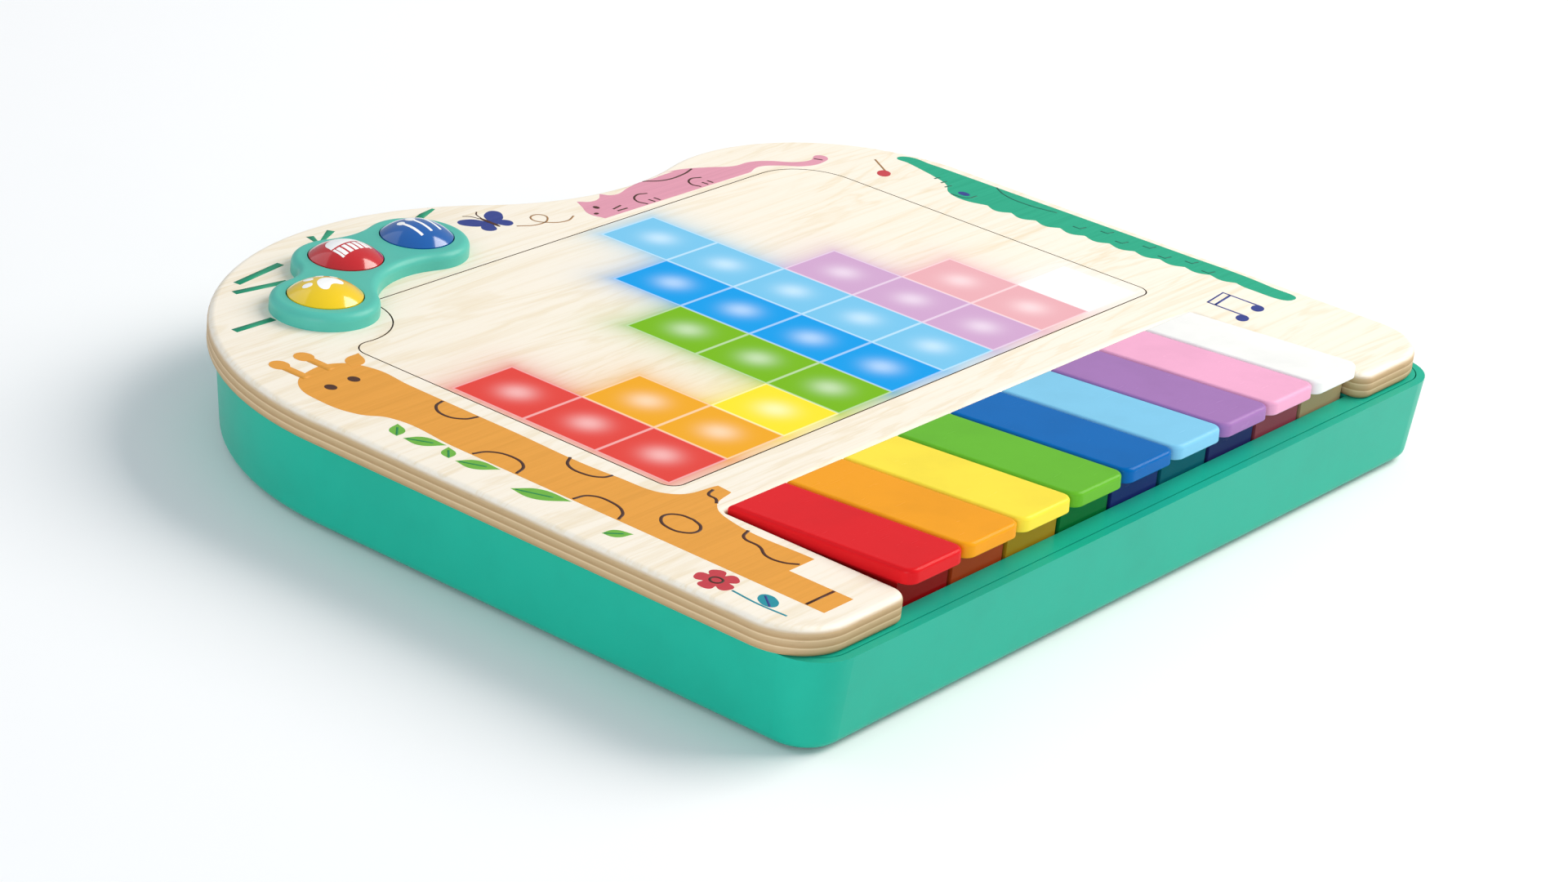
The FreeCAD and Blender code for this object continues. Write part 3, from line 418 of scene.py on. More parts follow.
def add_spline(curve, points, closed):
    """A smooth line through points in millimetres; a point with SHARP in it is a corner."""
    spline = curve.splines.new("BEZIER")
    spline.bezier_points.add(len(points) - 1)
    for knot, point in zip(spline.bezier_points, points):
        knot.co = (point[0] * MM, point[1] * MM, 0.0)
        handle = "VECTOR" if SHARP in point else "AUTO"
        knot.handle_left_type = knot.handle_right_type = handle
        knot.tilt = 0.0 if closed else math.pi / 2
    spline.use_cyclic_u = closed


def mesh_of(curve):
    """The curve's own mesh, with the curve taken away."""
    scratch = bpy.data.objects.new("scratch", curve)
    bpy.context.scene.collection.objects.link(scratch)
    graph = bpy.context.evaluated_depsgraph_get()
    mesh = bpy.data.meshes.new_from_object(scratch.evaluated_get(graph))
    bpy.data.objects.remove(scratch)
    bpy.data.curves.remove(curve)
    return mesh


def filled(name, outlines):
    """A flat mesh inside closed outlines; an outline within another is a hole."""
    curve = bpy.data.curves.new(name, "CURVE")
    curve.dimensions = "2D"
    curve.fill_mode = "BOTH"
    curve.resolution_u = bpy.context.scene.toy_keyboard_prints.curve_steps
    for outline in outlines:
        add_spline(curve, outline, True)
    return mesh_of(curve)


def stroked(name, lines, width):
    """A flat mesh of lines of one width."""
    curve = bpy.data.curves.new(name, "CURVE")
    curve.dimensions = "3D"
    curve.twist_mode = "Z_UP"
    curve.resolution_u = bpy.context.scene.toy_keyboard_prints.curve_steps
    curve.extrude = width * MM / 2
    for line in lines:
        add_spline(curve, line, False)
    return mesh_of(curve)


def refine(mesh, passes):
    """Cuts the mesh into triangles that face up, then every edge in half, as many times as asked."""
    grid = bmesh.new()
    grid.from_mesh(mesh)
    bmesh.ops.remove_doubles(grid, verts=grid.verts, dist=1e-6)
    bmesh.ops.triangulate(grid, faces=grid.faces)
    for _ in range(passes):
        bmesh.ops.subdivide_edges(grid, edges=grid.edges, cuts=1, use_grid_fill=True)
        bmesh.ops.triangulate(grid, faces=[face for face in grid.faces if len(face.verts) > 3])
    for face in grid.faces:
        if face.normal.z < 0:
            face.normal_flip()
    grid.to_mesh(mesh)
    grid.free()


def lay_on(mesh, surface, lift):
    """Drops each point of a flat mesh straight down onto a CAD node, but no higher than the CAD box."""
    graph = bpy.context.evaluated_depsgraph_get()
    tree = BVHTree.FromObject(NODES[surface], graph)
    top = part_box(surface)[1].z + 0.01
    for vertex in mesh.vertices:
        start = Vector((vertex.co.x, vertex.co.y, top))
        place = tree.ray_cast(start, Vector((0, 0, -1)))[0]
        if place is None:
            raise RuntimeError(f"{mesh.name} reaches past the edge of {surface}")
        vertex.co.z = min(place.z + lift, CAD_BOX[1].z)


def ink_on(name, mesh, surface, body, finish, layer=1, passes=0):
    """Makes a printed piece: the flat mesh laid on a CAD node as a thin closed film that rides on body."""
    prints = bpy.context.scene.toy_keyboard_prints
    refine(mesh, passes)
    lift = prints.ink * layer
    lay_on(mesh, surface, lift)
    mesh.name = name
    mesh.materials.clear()
    mesh.materials.append(finish.material)
    piece = bpy.data.objects.new(name, mesh)
    bpy.context.scene.collection.objects.link(piece)
    film = piece.modifiers.new("film", "SOLIDIFY")
    film.thickness = lift + prints.base
    film.offset = -1.0
    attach(piece, body)


def oval(x, y, across, deep, turn=0.0):
    """A closed oval, in millimetres; turn is in degrees."""
    cosine, sine = math.cos(math.radians(turn)), math.sin(math.radians(turn))
    loop = []
    for step in range(OVAL_POINTS):
        angle = math.tau * step / OVAL_POINTS
        u = across / 2 * math.cos(angle)
        v = deep / 2 * math.sin(angle)
        loop.append((x + u * cosine - v * sine, y + u * sine + v * cosine))
    return loop


def ring(x, y, across, deep, turn=0.0):
    """An oval as an open line that comes back to its start."""
    loop = oval(x, y, across, deep, turn)
    return [*loop, loop[0]]


def leaf(base, tip, width):
    """A closed leaf with a point at each end."""
    (bx, by), (tx, ty) = base, tip
    nx, ny = by - ty, tx - bx
    share = width / math.hypot(nx, ny) / 2
    mx, my = bx + (tx - bx) * 0.42, by + (ty - by) * 0.42
    one_side = (mx + nx * share, my + ny * share)
    other_side = (mx - nx * share, my - ny * share)
    return [(bx, by, SHARP), one_side, (tx, ty, SHARP), other_side]


def between(start, end, share):
    """The point that lies share of the way from start to end."""
    return tuple(a * (1 - share) + b * share for a, b in zip(start, end))


def blossom(x, y, reach, petals):
    """A closed flower of round petals, with a corner between each two."""
    loop = []
    for petal in range(petals):
        for share, length in ((0.0, 0.58), (0.2, 0.93), (0.5, 1.0), (0.8, 0.93)):
            angle = math.tau * (petal + share) / petals
            point = (x + reach * length * math.cos(angle), y + reach * length * math.sin(angle))
            loop.append((*point, SHARP) if share == 0.0 else point)
    return loop


def block(x, y, across, deep):
    """A closed rectangle with its middle at x, y."""
    left, right = x - across / 2, x + across / 2
    near, far = y - deep / 2, y + deep / 2
    return [(left, near, SHARP), (right, near, SHARP), (right, far, SHARP), (left, far, SHARP)]


# ---------------------------------------------------------------------------------------------------
# Operators


class TOYKEY_OT_wood(Operator):
    """Plywood top: birch grain on the face, plies round the rim"""

    bl_idname = "toykey.wood"
    bl_label = "Plywood top"

    def execute(self, context):
        colours = context.scene.toy_keyboard_colours
        low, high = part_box("top_plate")
        lacquer = {"Specular IOR Level": 0.32, "Coat Weight": 0.12, "Coat Roughness": 0.3}
        finish = Finish("birch plywood", lacquer)
        face, height = birch(finish, colours.birch, colours.grain)
        ripple = finish.noise((40, 40, 300), 3.0) * 0.05
        level = (finish.z - low.z) / (high.z - low.z) + ripple - 0.025
        pale, dark = tuple(colours.glue_line), tuple(colours.ply)
        soft = tuple((a + b) / 2 for a, b in zip(pale, dark))
        plies = finish.ramp(level, [
            (0.0, pale), (0.08, dark), (0.27, soft),
            (0.31, pale), (0.35, dark), (0.55, soft),
            (0.59, pale), (0.63, dark), (0.8, soft),
            (0.95, tuple(colours.birch)),
        ])
        ends = finish.noise((260, 260, 1800), 4.0, 0.7)
        rim = finish.mix(plies, solid(shaded(colours.ply, 0.72)), ends.rising(0.5, 0.85) * 0.4)
        upward = finish.normal_z().rising(0.45, 0.85)
        # Painted shade of the groove: the rim's walls near the window take the dark colour.
        rim = finish.mix(rim, solid(colours.groove_shade), self.by_the_window(finish))
        finish.feed("Base Color", finish.mix(rim, face, upward))
        finish.feed("Roughness", 0.62 - upward * 0.14 + ends * 0.08)
        finish.emboss(height, 0.02 * MM)
        finish.dress("top_plate")
        return {"FINISHED"}

    @staticmethod
    def by_the_window(finish):
        """1 within a millimetre of the window's box, 0 elsewhere."""
        low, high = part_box("light_panel")
        middle, half = (low + high) / 2, (high - low) / 2
        return (abs(finish.x - middle.x) < half.x + MM) * (abs(finish.y - middle.y) < half.y + MM)


class TOYKEY_OT_window(Operator):
    """Veneer window: columns of lit cells with a pale line, a bright spot and a soft halo"""

    bl_idname = "toykey.window"
    bl_label = "Light window"

    def execute(self, context):
        colours = context.scene.toy_keyboard_colours
        window = context.scene.toy_keyboard_window
        lacquer = {"Specular IOR Level": 0.1, "Coat Weight": 0.04, "Coat Roughness": 0.3}
        finish = Finish("lit veneer", lacquer)
        wood, height = birch(finish, shaded(colours.birch, 0.985), colours.grain, 0.9)
        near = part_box("light_panel")[0].y + window.front_margin
        keys = [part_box(f"key_{name}") for name in KEY_NAMES]
        centres = [(low.x + high.x) / 2 for low, high in keys]
        pitch = centres[1] - centres[0]
        paler = self.pale_parts(finish, window, centres[0], near, pitch)
        columns = []
        for name, centre in zip(KEY_NAMES, centres):
            deep = LIT_CELLS[name] * window.row_pitch
            out_x = (abs(finish.x - centre) - pitch / 2).at_least(0.0)
            out_y = (abs(finish.y - (near + deep / 2)) - deep / 2).at_least(0.0)
            columns.append((tuple(getattr(window, name)), (out_x**2.0 + out_y**2.0) ** 0.5))
        base, glow = wood, BLACK
        for light, away in columns:
            halo = away.falling(window.halo) * window.halo_share
            base = finish.mix(base, solid(shaded(light, window.tint)), halo)
            glow = finish.mix(glow, solid(light), halo)
        for light, away in columns:
            inside = 1.0 - away.rising(0.0, window.edge)
            lit_base = finish.mix(solid(shaded(light, window.tint)), solid((0.8, 0.8, 0.8)), paler * 0.5)
            lit_glow = finish.mix(solid(light), WHITE, paler * 0.75)
            base = finish.mix(base, lit_base, inside)
            glow = finish.mix(glow, lit_glow, inside)
        upward = finish.normal_z().rising(0.45, 0.85)
        # Painted shade of the groove: the window's side walls take the dark colour, and its top shows the
        # cells.
        finish.feed("Base Color", finish.mix(solid(colours.groove_shade), base, upward))
        finish.feed("Emission Color", finish.mix(BLACK, glow, upward))
        finish.shader.inputs["Emission Strength"].default_value = window.strength
        finish.shader.inputs["Roughness"].default_value = 0.5
        finish.emboss(height, 0.015 * MM)
        finish.dress("light_panel")
        return {"FINISHED"}

    @staticmethod
    def pale_parts(finish, window, first, near, pitch):
        """How pale a lit cell is: most on the lines between cells and over its lamp."""
        across = (finish.x - first) / pitch + 0.5
        along = (finish.y - near) / window.row_pitch
        off_x = abs(across.part() - 0.5)
        off_y = abs(along.part() - 0.5)
        divider = ((0.5 - off_x) * pitch).at_most((0.5 - off_y) * window.row_pitch)
        line = 1.0 - divider.rising(window.divider * 0.6, window.divider * 1.6)
        square = (off_x * pitch) ** 2.0 + (off_y * window.row_pitch) ** 2.0
        spot = (square / window.spot**2 * -1.0).maths("EXPONENT")
        return (line * 0.5 + spot * 0.56).at_most(1.0)


class TOYKEY_OT_keys(Operator):
    """The nine keys in glossy moulded plastic, deeper in colour below the caps"""

    bl_idname = "toykey.keys"
    bl_label = "Keys"

    def execute(self, context):
        keys = context.scene.toy_keyboard_keys
        slope = keys.cap_rise / keys.cap_depth
        for name in KEY_NAMES:
            colour = tuple(getattr(keys, name))
            finish = moulded(f"{name} key plastic", colour, 0.26, 0.05, 0.004 * MM, 0.06)
            low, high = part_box(f"key_{name}")
            # Painted shade: below the cap the colour turns into the darker colour set for the key's body.
            below = high.z - (finish.y - low.y) * slope - finish.z
            share = below.rising(keys.cap_thick, keys.cap_thick + keys.blur)
            skirt_shade = solid(getattr(keys, f"shaded_skirt_{name}"))
            finish.feed("Base Color", finish.mix(finish.fed["Base Color"], skirt_shade, share))
            finish.dress(f"key_{name}")
        return {"FINISHED"}


class TOYKEY_OT_buttons(Operator):
    """The three domed buttons, each with a white mark printed on it"""

    bl_idname = "toykey.buttons"
    bl_label = "Buttons"

    def execute(self, context):
        colours = context.scene.toy_keyboard_colours
        prints = context.scene.toy_keyboard_prints
        white = moulded("white ink", tuple(colours.mark), 0.35, 0.2, 0.002 * MM)
        for name, drawn in (("yellow", self.paw), ("red", self.little_keys), ("blue", self.mallets)):
            node = f"button_{name}"
            colour = tuple(getattr(colours, node))
            moulded(f"{name} button plastic", colour, 0.16, 0.7, 0.003 * MM, 0.45).dress(node)
            low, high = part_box(node)
            centre = (low + high) / (2 * MM)
            mesh = drawn(centre.x, centre.y)
            ink_on(f"{name}_button_mark", mesh, node, node, white, 2, prints.dome_cuts)
        return {"FINISHED"}

    @staticmethod
    def paw(x, y):
        """A paw print: one broad pad and four toes in an arc over it."""
        pad = [
            (x - 3.4, y - 3.6), (x, y - 2.6), (x + 3.4, y - 3.6),
            (x + 3.9, y - 0.8), (x, y + 2.0), (x - 3.9, y - 0.8),
        ]
        toes = []
        for angle in (152, 112, 68, 28):
            toe_x = x + 6.0 * math.cos(math.radians(angle))
            toe_y = y - 0.6 + 6.0 * math.sin(math.radians(angle))
            toes.append(oval(toe_x, toe_y, 2.3, 3.0, angle - 90))
        return filled("paw", [pad, *toes])

    @staticmethod
    def little_keys(x, y):
        """A little keyboard: a rounded lid over a row of keys."""
        lid = [
            (x - 6.0, y + 0.4, SHARP), (x + 6.0, y + 0.4, SHARP),
            (x + 4.6, y + 4.2), (x, y + 5.4), (x - 4.6, y + 4.2),
        ]
        keys = [block(x + 2.1 * step, y - 2.4, 1.4, 4.0) for step in range(-2, 3)]
        sides = [block(x + 5.6 * side, y - 2.4, 0.8, 4.4) for side in (-1, 1)]
        return filled("little keys", [lid, *keys, *sides])

    @staticmethod
    def mallets(x, y):
        """Three mallets side by side, the middle one larger."""
        sticks = []
        for shift, size in ((-3.9, 2.6), (0.0, 3.4), (3.9, 2.6)):
            head = oval(x + shift, y + 3.2, size * 0.8, size)
            neck = 3.2 - size / 2
            stick = block(x + shift, y + (neck - 5.9) / 2, 0.9, neck + 5.9)
            sticks += [head, stick]
        return filled("mallets", sticks)


class TOYKEY_OT_case(Operator):
    """Tub, deck, button housing, battery door and feet"""

    bl_idname = "toykey.case"
    bl_label = "Case"

    def execute(self, context):
        colours = context.scene.toy_keyboard_colours
        tub = moulded("teal case plastic", tuple(colours.case), 0.34, 0.05, 0.014 * MM, 0.14)
        tub.dress("lower_case", "upper_case", "battery_door")
        housing = moulded("soft teal housing", tuple(colours.housing), 0.38, 0.06, 0.012 * MM, 0.2)
        housing.dress("button_housing")
        rubber = moulded("foot rubber", tone("3A3C3C"), 0.82, 0.0, 0.03 * MM, 0.2)
        rubber.dress("rubber_feet")
        black = moulded("switch plastic", tone("1B1C1E"), 0.45, 0.0, 0.01 * MM)
        black.dress("power_switch_knob", "power_switch_body", "button_switches")
        return {"FINISHED"}


class TOYKEY_OT_works(Operator):
    """Everything inside: boards, lamps, cells, speaker, screws and springs"""

    bl_idname = "toykey.works"
    bl_label = "Works"

    def execute(self, context):
        self.boards()
        self.metal()
        self.lamps()
        self.cells()
        self.capacitors()
        self.speaker()
        moulded("grey works plastic", tone("A4A8AA"), 0.5).dress("hinge_rail", "battery_box")
        moulded("dome silicone", tone("CFD3CC"), 0.6, 0.0, 0.01 * MM, 0.3).dress("key_dome_strip")
        moulded("white grid plastic", tone("F1F1EE"), 0.55).dress("light_grid")
        moulded("milky film", tone("F4F4F0"), 0.42, 0.0, 0.002 * MM).dress("light_diffuser")
        moulded("chip resin", tone("18181A"), 0.5).dress("sound_chip")
        return {"FINISHED"}

    @staticmethod
    def boards():
        """Green lacquer over copper tracks, laid out on a square grid."""
        lacquer = {"Specular IOR Level": 0.5, "Coat Weight": 0.3, "Coat Roughness": 0.2}
        finish = Finish("board lacquer", lacquer)
        weave = finish.noise((900, 900, 900), 2.0)
        lanes = finish.noise((55, 9, 55), 0.0) * 9.0
        rungs = finish.noise((9, 55, 55), 0.0) * 9.0
        along, across = (1.0 - abs(share.part() - 0.5).rising(0.08, 0.14) for share in (lanes, rungs))
        track = along.at_least(across)
        bare, copper = solid(tone("0F5A33")), solid(tone("2B8A50"))
        finish.feed("Base Color", finish.mix(bare, copper, track * 0.8 + weave * 0.15))
        finish.feed("Roughness", 0.35 + weave * 0.2)
        finish.emboss(track, 0.03 * MM)
        finish.dress("led_board", "key_board", "button_board", "main_board")

    @staticmethod
    def metal():
        """Plated steel with fine draw lines."""
        finish = Finish("plated steel", {"Metallic": 1.0})
        draw = finish.noise((300, 4000, 4000), 3.0, 0.7)
        finish.feed("Base Color", finish.mix(solid(tone("9A9C9F")), solid(tone("C6C8CB")), draw))
        finish.feed("Roughness", 0.22 + draw * 0.22)
        finish.emboss(draw, 0.004 * MM)
        finish.dress("key_shaft", "case_screws", "board_screws")
        finish.dress("battery_contacts", "door_screw", "speaker_frame")

    @staticmethod
    def lamps():
        """White packages with a yellow phosphor face."""
        finish = Finish("lamp package", {"Specular IOR Level": 0.5})
        upward = finish.normal_z().rising(0.8, 0.95)
        speck = finish.noise((2500, 2500, 2500), 2.0)
        face = finish.mix(solid(tone("F2E27A")), solid(tone("FFF4A8")), speck)
        finish.feed("Base Color", finish.mix(solid(tone("F4F4F0")), face, upward))
        finish.feed("Roughness", 0.3 + speck * 0.2)
        finish.dress("leds")

    @staticmethod
    def cells():
        """Wrapped cells: a dark jacket with a copper band at one end."""
        low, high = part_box("battery_cell_middle")
        finish = Finish("cell jacket", {"Coat Weight": 0.5, "Coat Roughness": 0.1})
        share = (finish.x - low.x) / (high.x - low.x)
        band = share.rising(0.7, 0.71)
        cap = 1.0 - share.rising(0.03, 0.035)
        grain = finish.noise((700, 60, 60), 3.0)
        jacket = finish.mix(solid(tone("30343A")), solid(tone("3C4148")), grain)
        wrapped = finish.mix(jacket, solid(tone("B5713A")), band)
        finish.feed("Base Color", finish.mix(wrapped, solid(tone("C6C8CB")), cap))
        finish.feed("Metallic", cap.at_least(band * 0.6))
        finish.feed("Roughness", 0.28 + grain * 0.12)
        finish.dress("battery_cell_left", "battery_cell_middle", "battery_cell_right")

    @staticmethod
    def capacitors():
        """A dark blue sleeve with a bare metal end."""
        finish = Finish("capacitor sleeve", {"Coat Weight": 0.3})
        ends = finish.normal_z().rising(0.9, 0.95)
        finish.feed("Base Color", finish.mix(solid(tone("1D2C5A")), solid(tone("C9CBCE")), ends))
        finish.feed("Metallic", ends * 0.9)
        finish.dress("capacitors")

    @staticmethod
    def speaker():
        """A ridged paper cone and a sintered magnet."""
        low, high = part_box("speaker_cone")
        middle = (low + high) / 2
        finish = Finish("cone paper", {"Specular IOR Level": 0.2})
        away = ((finish.x - middle.x) ** 2.0 + (finish.y - middle.y) ** 2.0) ** 0.5
        ridge = (away * (math.tau / (1.6 * MM))).maths("SINE")
        fibre = finish.noise((1400, 1400, 1400), 4.0)
        finish.feed("Base Color", finish.mix(solid(tone("1A1A1C")), solid(tone("3B3B3E")), fibre))
        finish.feed("Roughness", 0.75 + fibre * 0.15)
        finish.emboss(ridge + fibre * 0.5, 0.05 * MM)
        finish.dress("speaker_cone")
        moulded("sintered magnet", tone("3C3C3F"), 0.6, 0.0, 0.03 * MM).dress("speaker_magnet")


class TOYKEY_OT_prints(Operator):
    """The printed border: animals, leaves, flower, reeds, butterfly and notes, all of plain shapes"""

    bl_idname = "toykey.prints"
    bl_label = "Prints"

    def execute(self, context):
        self.inks = {name: self.ink(f"{name} ink", tone(code)) for name, code in INKS.items()}
        self.giraffe()
        self.leaves()
        self.flowers()
        self.reeds()
        self.butterfly()
        self.cat()
        self.crocodile()
        self.notes()
        return {"FINISHED"}

    @staticmethod
    def ink(name, colour):
        """Silk-screen ink: the wood's grain shows through a little."""
        finish = Finish(name, {"Specular IOR Level": 0.3, "Coat Weight": 0.1, "Coat Roughness": 0.3})
        grain = finish.noise((11, 520, 520), 4.0, 0.65).rising(0.35, 0.8)
        finish.feed("Base Color", finish.mix(solid(colour), solid(shaded(colour, 0.86)), grain * 0.8))
        finish.feed("Roughness", 0.46 + grain * 0.14)
        finish.emboss(grain, 0.01 * MM)
        return finish

    def area(self, name, ink, outlines, layer=1):
        ink_on(name, filled(name, outlines), "top_plate", CASE, self.inks[ink], layer)

    def line(self, name, ink, lines, width, layer=1):
        ink_on(name, stroked(name, lines, width), "top_plate", CASE, self.inks[ink], layer)

    def giraffe(self):
        """A long-necked animal that lies along the left edge, head at the back."""
        body = [
            (-138.5, -127, SHARP), (-138.5, -60), (-138.5, 0), (-138.5, 24),
            (-143.5, 31), (-145.5, 43), (-142.5, 55), (-134, 60), (-123, 59), (-118, 51),
            (-118.3, 36), (-118.5, 0), (-118.3, -40), (-114.5, -57),
            (-101, -61, SHARP), (-101.5, -66, SHARP), (-111, -69), (-115.5, -78),
            (-116, -106, SHARP), (-126.5, -106, SHARP), (-126.5, -127, SHARP),
        ]
        self.area("giraffe", "orange", [body])
        horns = [[(x, 57), (x, 66)] for x in (-137, -127.5)]
        self.line("giraffe_horns", "orange", horns, 3.2, 2)
        self.area("giraffe_horn_tips", "orange", [oval(x, 68, 5.6, 6.2) for x in (-137, -127.5)], 3)
        self.area("giraffe_ear", "orange", [leaf((-122, 54.6), (-113.4, 60.6), 5.6)], 2)
        self.area("giraffe_eyes", "brown", [oval(x, 48.5, 3.4, 3.8) for x in (-136.5, -127.5)], 2)
        marks = [
            [(-118.8, 23), (-123, 21.5), (-125.5, 16), (-123, 11), (-118.8, 9.5)],
            [(-138, -6), (-133.5, -8), (-131, -14), (-133, -20), (-138, -22)],
            [(-118.8, -24), (-123, -27), (-124, -33), (-121.5, -38), (-118.4, -39)],
            [(-138, -42), (-133, -43.5), (-131.5, -50), (-134, -56), (-138, -58)],
            [(-116.2, -84), (-120.5, -86), (-121.5, -92), (-124.5, -97), (-124, -102), (-121.5, -105.5)],
            [(-104, -61.8), (-107.5, -63.2), (-108, -66), (-110, -68)],
            [(-138.3, -121, SHARP), (-126.7, -121, SHARP)],
        ]
        self.line("giraffe_marks", "brown", marks, 0.9, 2)
        self.line("giraffe_ring", "brown", [ring(-127, -70, 9.0, 12.0, -8)], 0.9, 2)

    def leaves(self):
        stems = (
            ((-145.6, 14.6), (-139.6, 20.0), 4.4), ((-145.2, 12.6), (-139.4, 2.0), 5.6),
            ((-145.0, -4.0), (-139.8, 1.0), 4.0), ((-144.8, -6.2), (-139.4, -17.6), 5.6),
            ((-146.0, -27.2), (-139.4, -43.0), 6.4), ((-147.6, -60.6), (-141.6, -66.4), 4.4),
        )
        self.area("leaves", "leaf", [leaf(base, tip, width) for base, tip, width in stems])
        veins = [[between(base, tip, 0.08), between(base, tip, 0.7)] for base, tip, _ in stems]
        self.line("leaf_veins", "fern", veins, 0.6, 2)

    def flowers(self):
        self.area("flower", "crimson", [blossom(-145.4, -97.5, 6.0, 5)])
        self.line("flower_ring", "brown", [ring(-145.4, -97.5, 3.4, 3.4)], 0.7, 2)
        self.line("sprig_stem", "teal", [[(-146.8, -103.8), (-147.6, -113), (-147.2, -122)]], 0.7)
        self.area("sprig_leaf", "teal", [oval(-144.2, -113.5, 5.0, 7.4, -30)])
        self.line("sprig_vein", "navy", [[(-146.6, -116), (-142.6, -111.2)]], 0.6, 2)

    def reeds(self):
        """Blades that stand out from behind the button housing."""
        blades = [
            [(-105, 118.2, SHARP), (-84, 121.5, SHARP)],
            [(-110.5, 113.6, SHARP), (-92, 110.5, SHARP)],
            [(-130, 93.2, SHARP), (-115, 92.8, SHARP)],
            [(-61.5, 132, SHARP), (-63.5, 126, SHARP), (-53, 131.6, SHARP)],
            [(-25, 122.5, SHARP), (-14.5, 126.5, SHARP)],
        ]
        self.line("reeds", "reed", blades, 2.5)

    def butterfly(self):
        """A butterfly with a looping line of flight behind it."""
        x, y = -8.5, 107.5
        wings, hind, feelers = [], [], []
        for side in (-1, 1):
            wings.append([
                (x, y + 0.5, SHARP), (x + side * 3.4, y + 5.6), (x + side * 8.4, y + 5.8),
                (x + side * 6.6, y + 0.6), (x + side * 2.6, y - 0.8),
            ])
            hind.append([
                (x, y, SHARP), (x + side * 4.6, y - 0.6), (x + side * 6.0, y - 3.8),
                (x + side * 3.0, y - 5.4), (x + side * 1.0, y - 2.8),
            ])
            feelers.append([(x + side * 0.4, y + 4), (x + side * 1.4, y + 7), (x + side * 3.2, y + 8.6)])
        self.area("butterfly_wings", "navy", wings)
        self.area("butterfly_hind_wings", "navy", hind, 2)
        self.area("butterfly_body", "brown", [oval(x, y, 1.3, 8.4)], 3)
        self.line("butterfly_feelers", "brown", feelers, 0.45)
        flight = [
            (-4, 100.5), (2, 97.5), (8, 98.6), (9.6, 102), (6.4, 103.6),
            (3.9, 101), (6, 97), (12, 94.2), (17, 95.8),
        ]
        self.line("butterfly_flight", "tan", [flight], 0.6)

    def cat(self):
        """A cat asleep along the window's back edge."""
        body = [
            (23.5, 88.5, SHARP), (22.2, 94), (25.0, 99.5), (27.0, 103.4, SHARP),
            (30.6, 100.8), (34.5, 101), (38.0, 103.6, SHARP), (40.5, 100.6),
            (50, 102.0), (62, 104.2), (76, 103), (86, 98.5), (93, 94.6),
            (101, 93.8), (107, 90.6), (113, 85), (119, 83), (124.5, 84.6), (125.8, 81.6),
            (120.5, 79.2), (113, 80.5), (106, 86.2), (100, 89.2), (93.5, 87.6, SHARP),
        ]
        self.area("cat", "pink", [body])
        marks = [
            [(44, 88.6), (43, 92.5), (47, 96), (51, 95)],
            [(47.5, 88.6), (47.2, 91.2)],
            [(50, 88.6), (49.8, 91.2)],
            [(70, 88.6), (69, 92), (72.5, 95.2), (76.5, 94)],
            [(73.5, 88.6), (73.2, 91)],
            [(76, 88.6), (75.8, 91)],
            [(58, 103.0), (64, 99.6), (74, 99.4), (80, 101)],
            [(31.5, 92.2), (36, 93)],
            [(31.5, 90.4), (36, 90.2)],
            [(121, 83.2), (122.4, 80.6)],
        ]
        self.line("cat_marks", "brown", marks, 0.7, 2)
        self.area("cat_face", "brown", [oval(28.2, 96.4, 1.9, 2.4), oval(24.2, 92.8, 1.8, 1.4)], 2)

    def crocodile(self):
        """A crocodile along the right edge, its ridged back towards the window."""
        teeth = 11
        ridge_start, ridge_end = (134.0, 22.0), (145.0, -76.0)
        step_x, step_y = ((end - start) / teeth for start, end in zip(ridge_start, ridge_end))
        back = []
        for index in range(teeth):
            x, y = ridge_start[0] + step_x * index, ridge_start[1] + step_y * index
            back += [(x, y, SHARP), (x - 1.7 + index * 0.08, y + step_y * 0.55)]
        head = [
            (150.0, 38, SHARP), (149.5, 56), (148.4, 66), (144.8, 67), (144.2, 62),
            (141.5, 50, SHARP), (138.5, 42), (133.0, 36.5), (131.6, 29),
        ]
        tail = [(147.6, -86.5), (150.4, -76), (151.0, -40, SHARP)]
        self.area("crocodile", "jade", [[*head, *back, *tail]])
        scales = []
        for row, x in enumerate((143.0, 147.0, 143.6, 147.4, 144.2, 147.6, 145.0)):
            y = -8.0 - row * 8.0
            scales.append([(x - 1.2, y + 1.6, SHARP), (x - 1.2, y - 1.0, SHARP), (x + 1.6, y - 1.6, SHARP)])
        shoulder = [(150.0, 30), (146.5, 24), (145.5, 14), (147.5, 4)]
        jaw = [
            [(139.5, 47.5), (142.0, 47)],
            [(138.2, 43.8), (141.0, 43.4)],
            [(136.0, 40.6), (139.0, 40.0)],
        ]
        self.line("crocodile_scales", "moss", [*scales, shoulder, *jaw], 0.6, 2)
        self.area("crocodile_eye", "navy", [oval(136.2, 33.0, 3.0, 4.2)], 2)
        self.line("crocodile_brow", "moss", [[(132.6, 35.6), (134.0, 30.0), (138.2, 29.2)]], 0.6, 2)

    def notes(self):
        self.line("red_note_stem", "tan", [[(137.6, 70.6), (131.6, 61.6)]], 0.7)
        self.area("red_note_head", "crimson", [oval(129.4, 60.6, 5.8, 4.4, 30)], 2)
        heads = [oval(120.6, -84.6, 5.4, 4.0, 20), oval(131.4, -83.2, 5.4, 4.0, 20)]
        self.area("pair_note_heads", "navy", heads)
        stems = [
            [(122.8, -84, SHARP), (122.8, -70.5, SHARP), (133.6, -69.1, SHARP), (133.6, -82.6, SHARP)],
            [(122.8, -73.2, SHARP), (133.6, -71.8, SHARP)],
        ]
        self.line("pair_note_stems", "navy", stems, 0.8, 2)


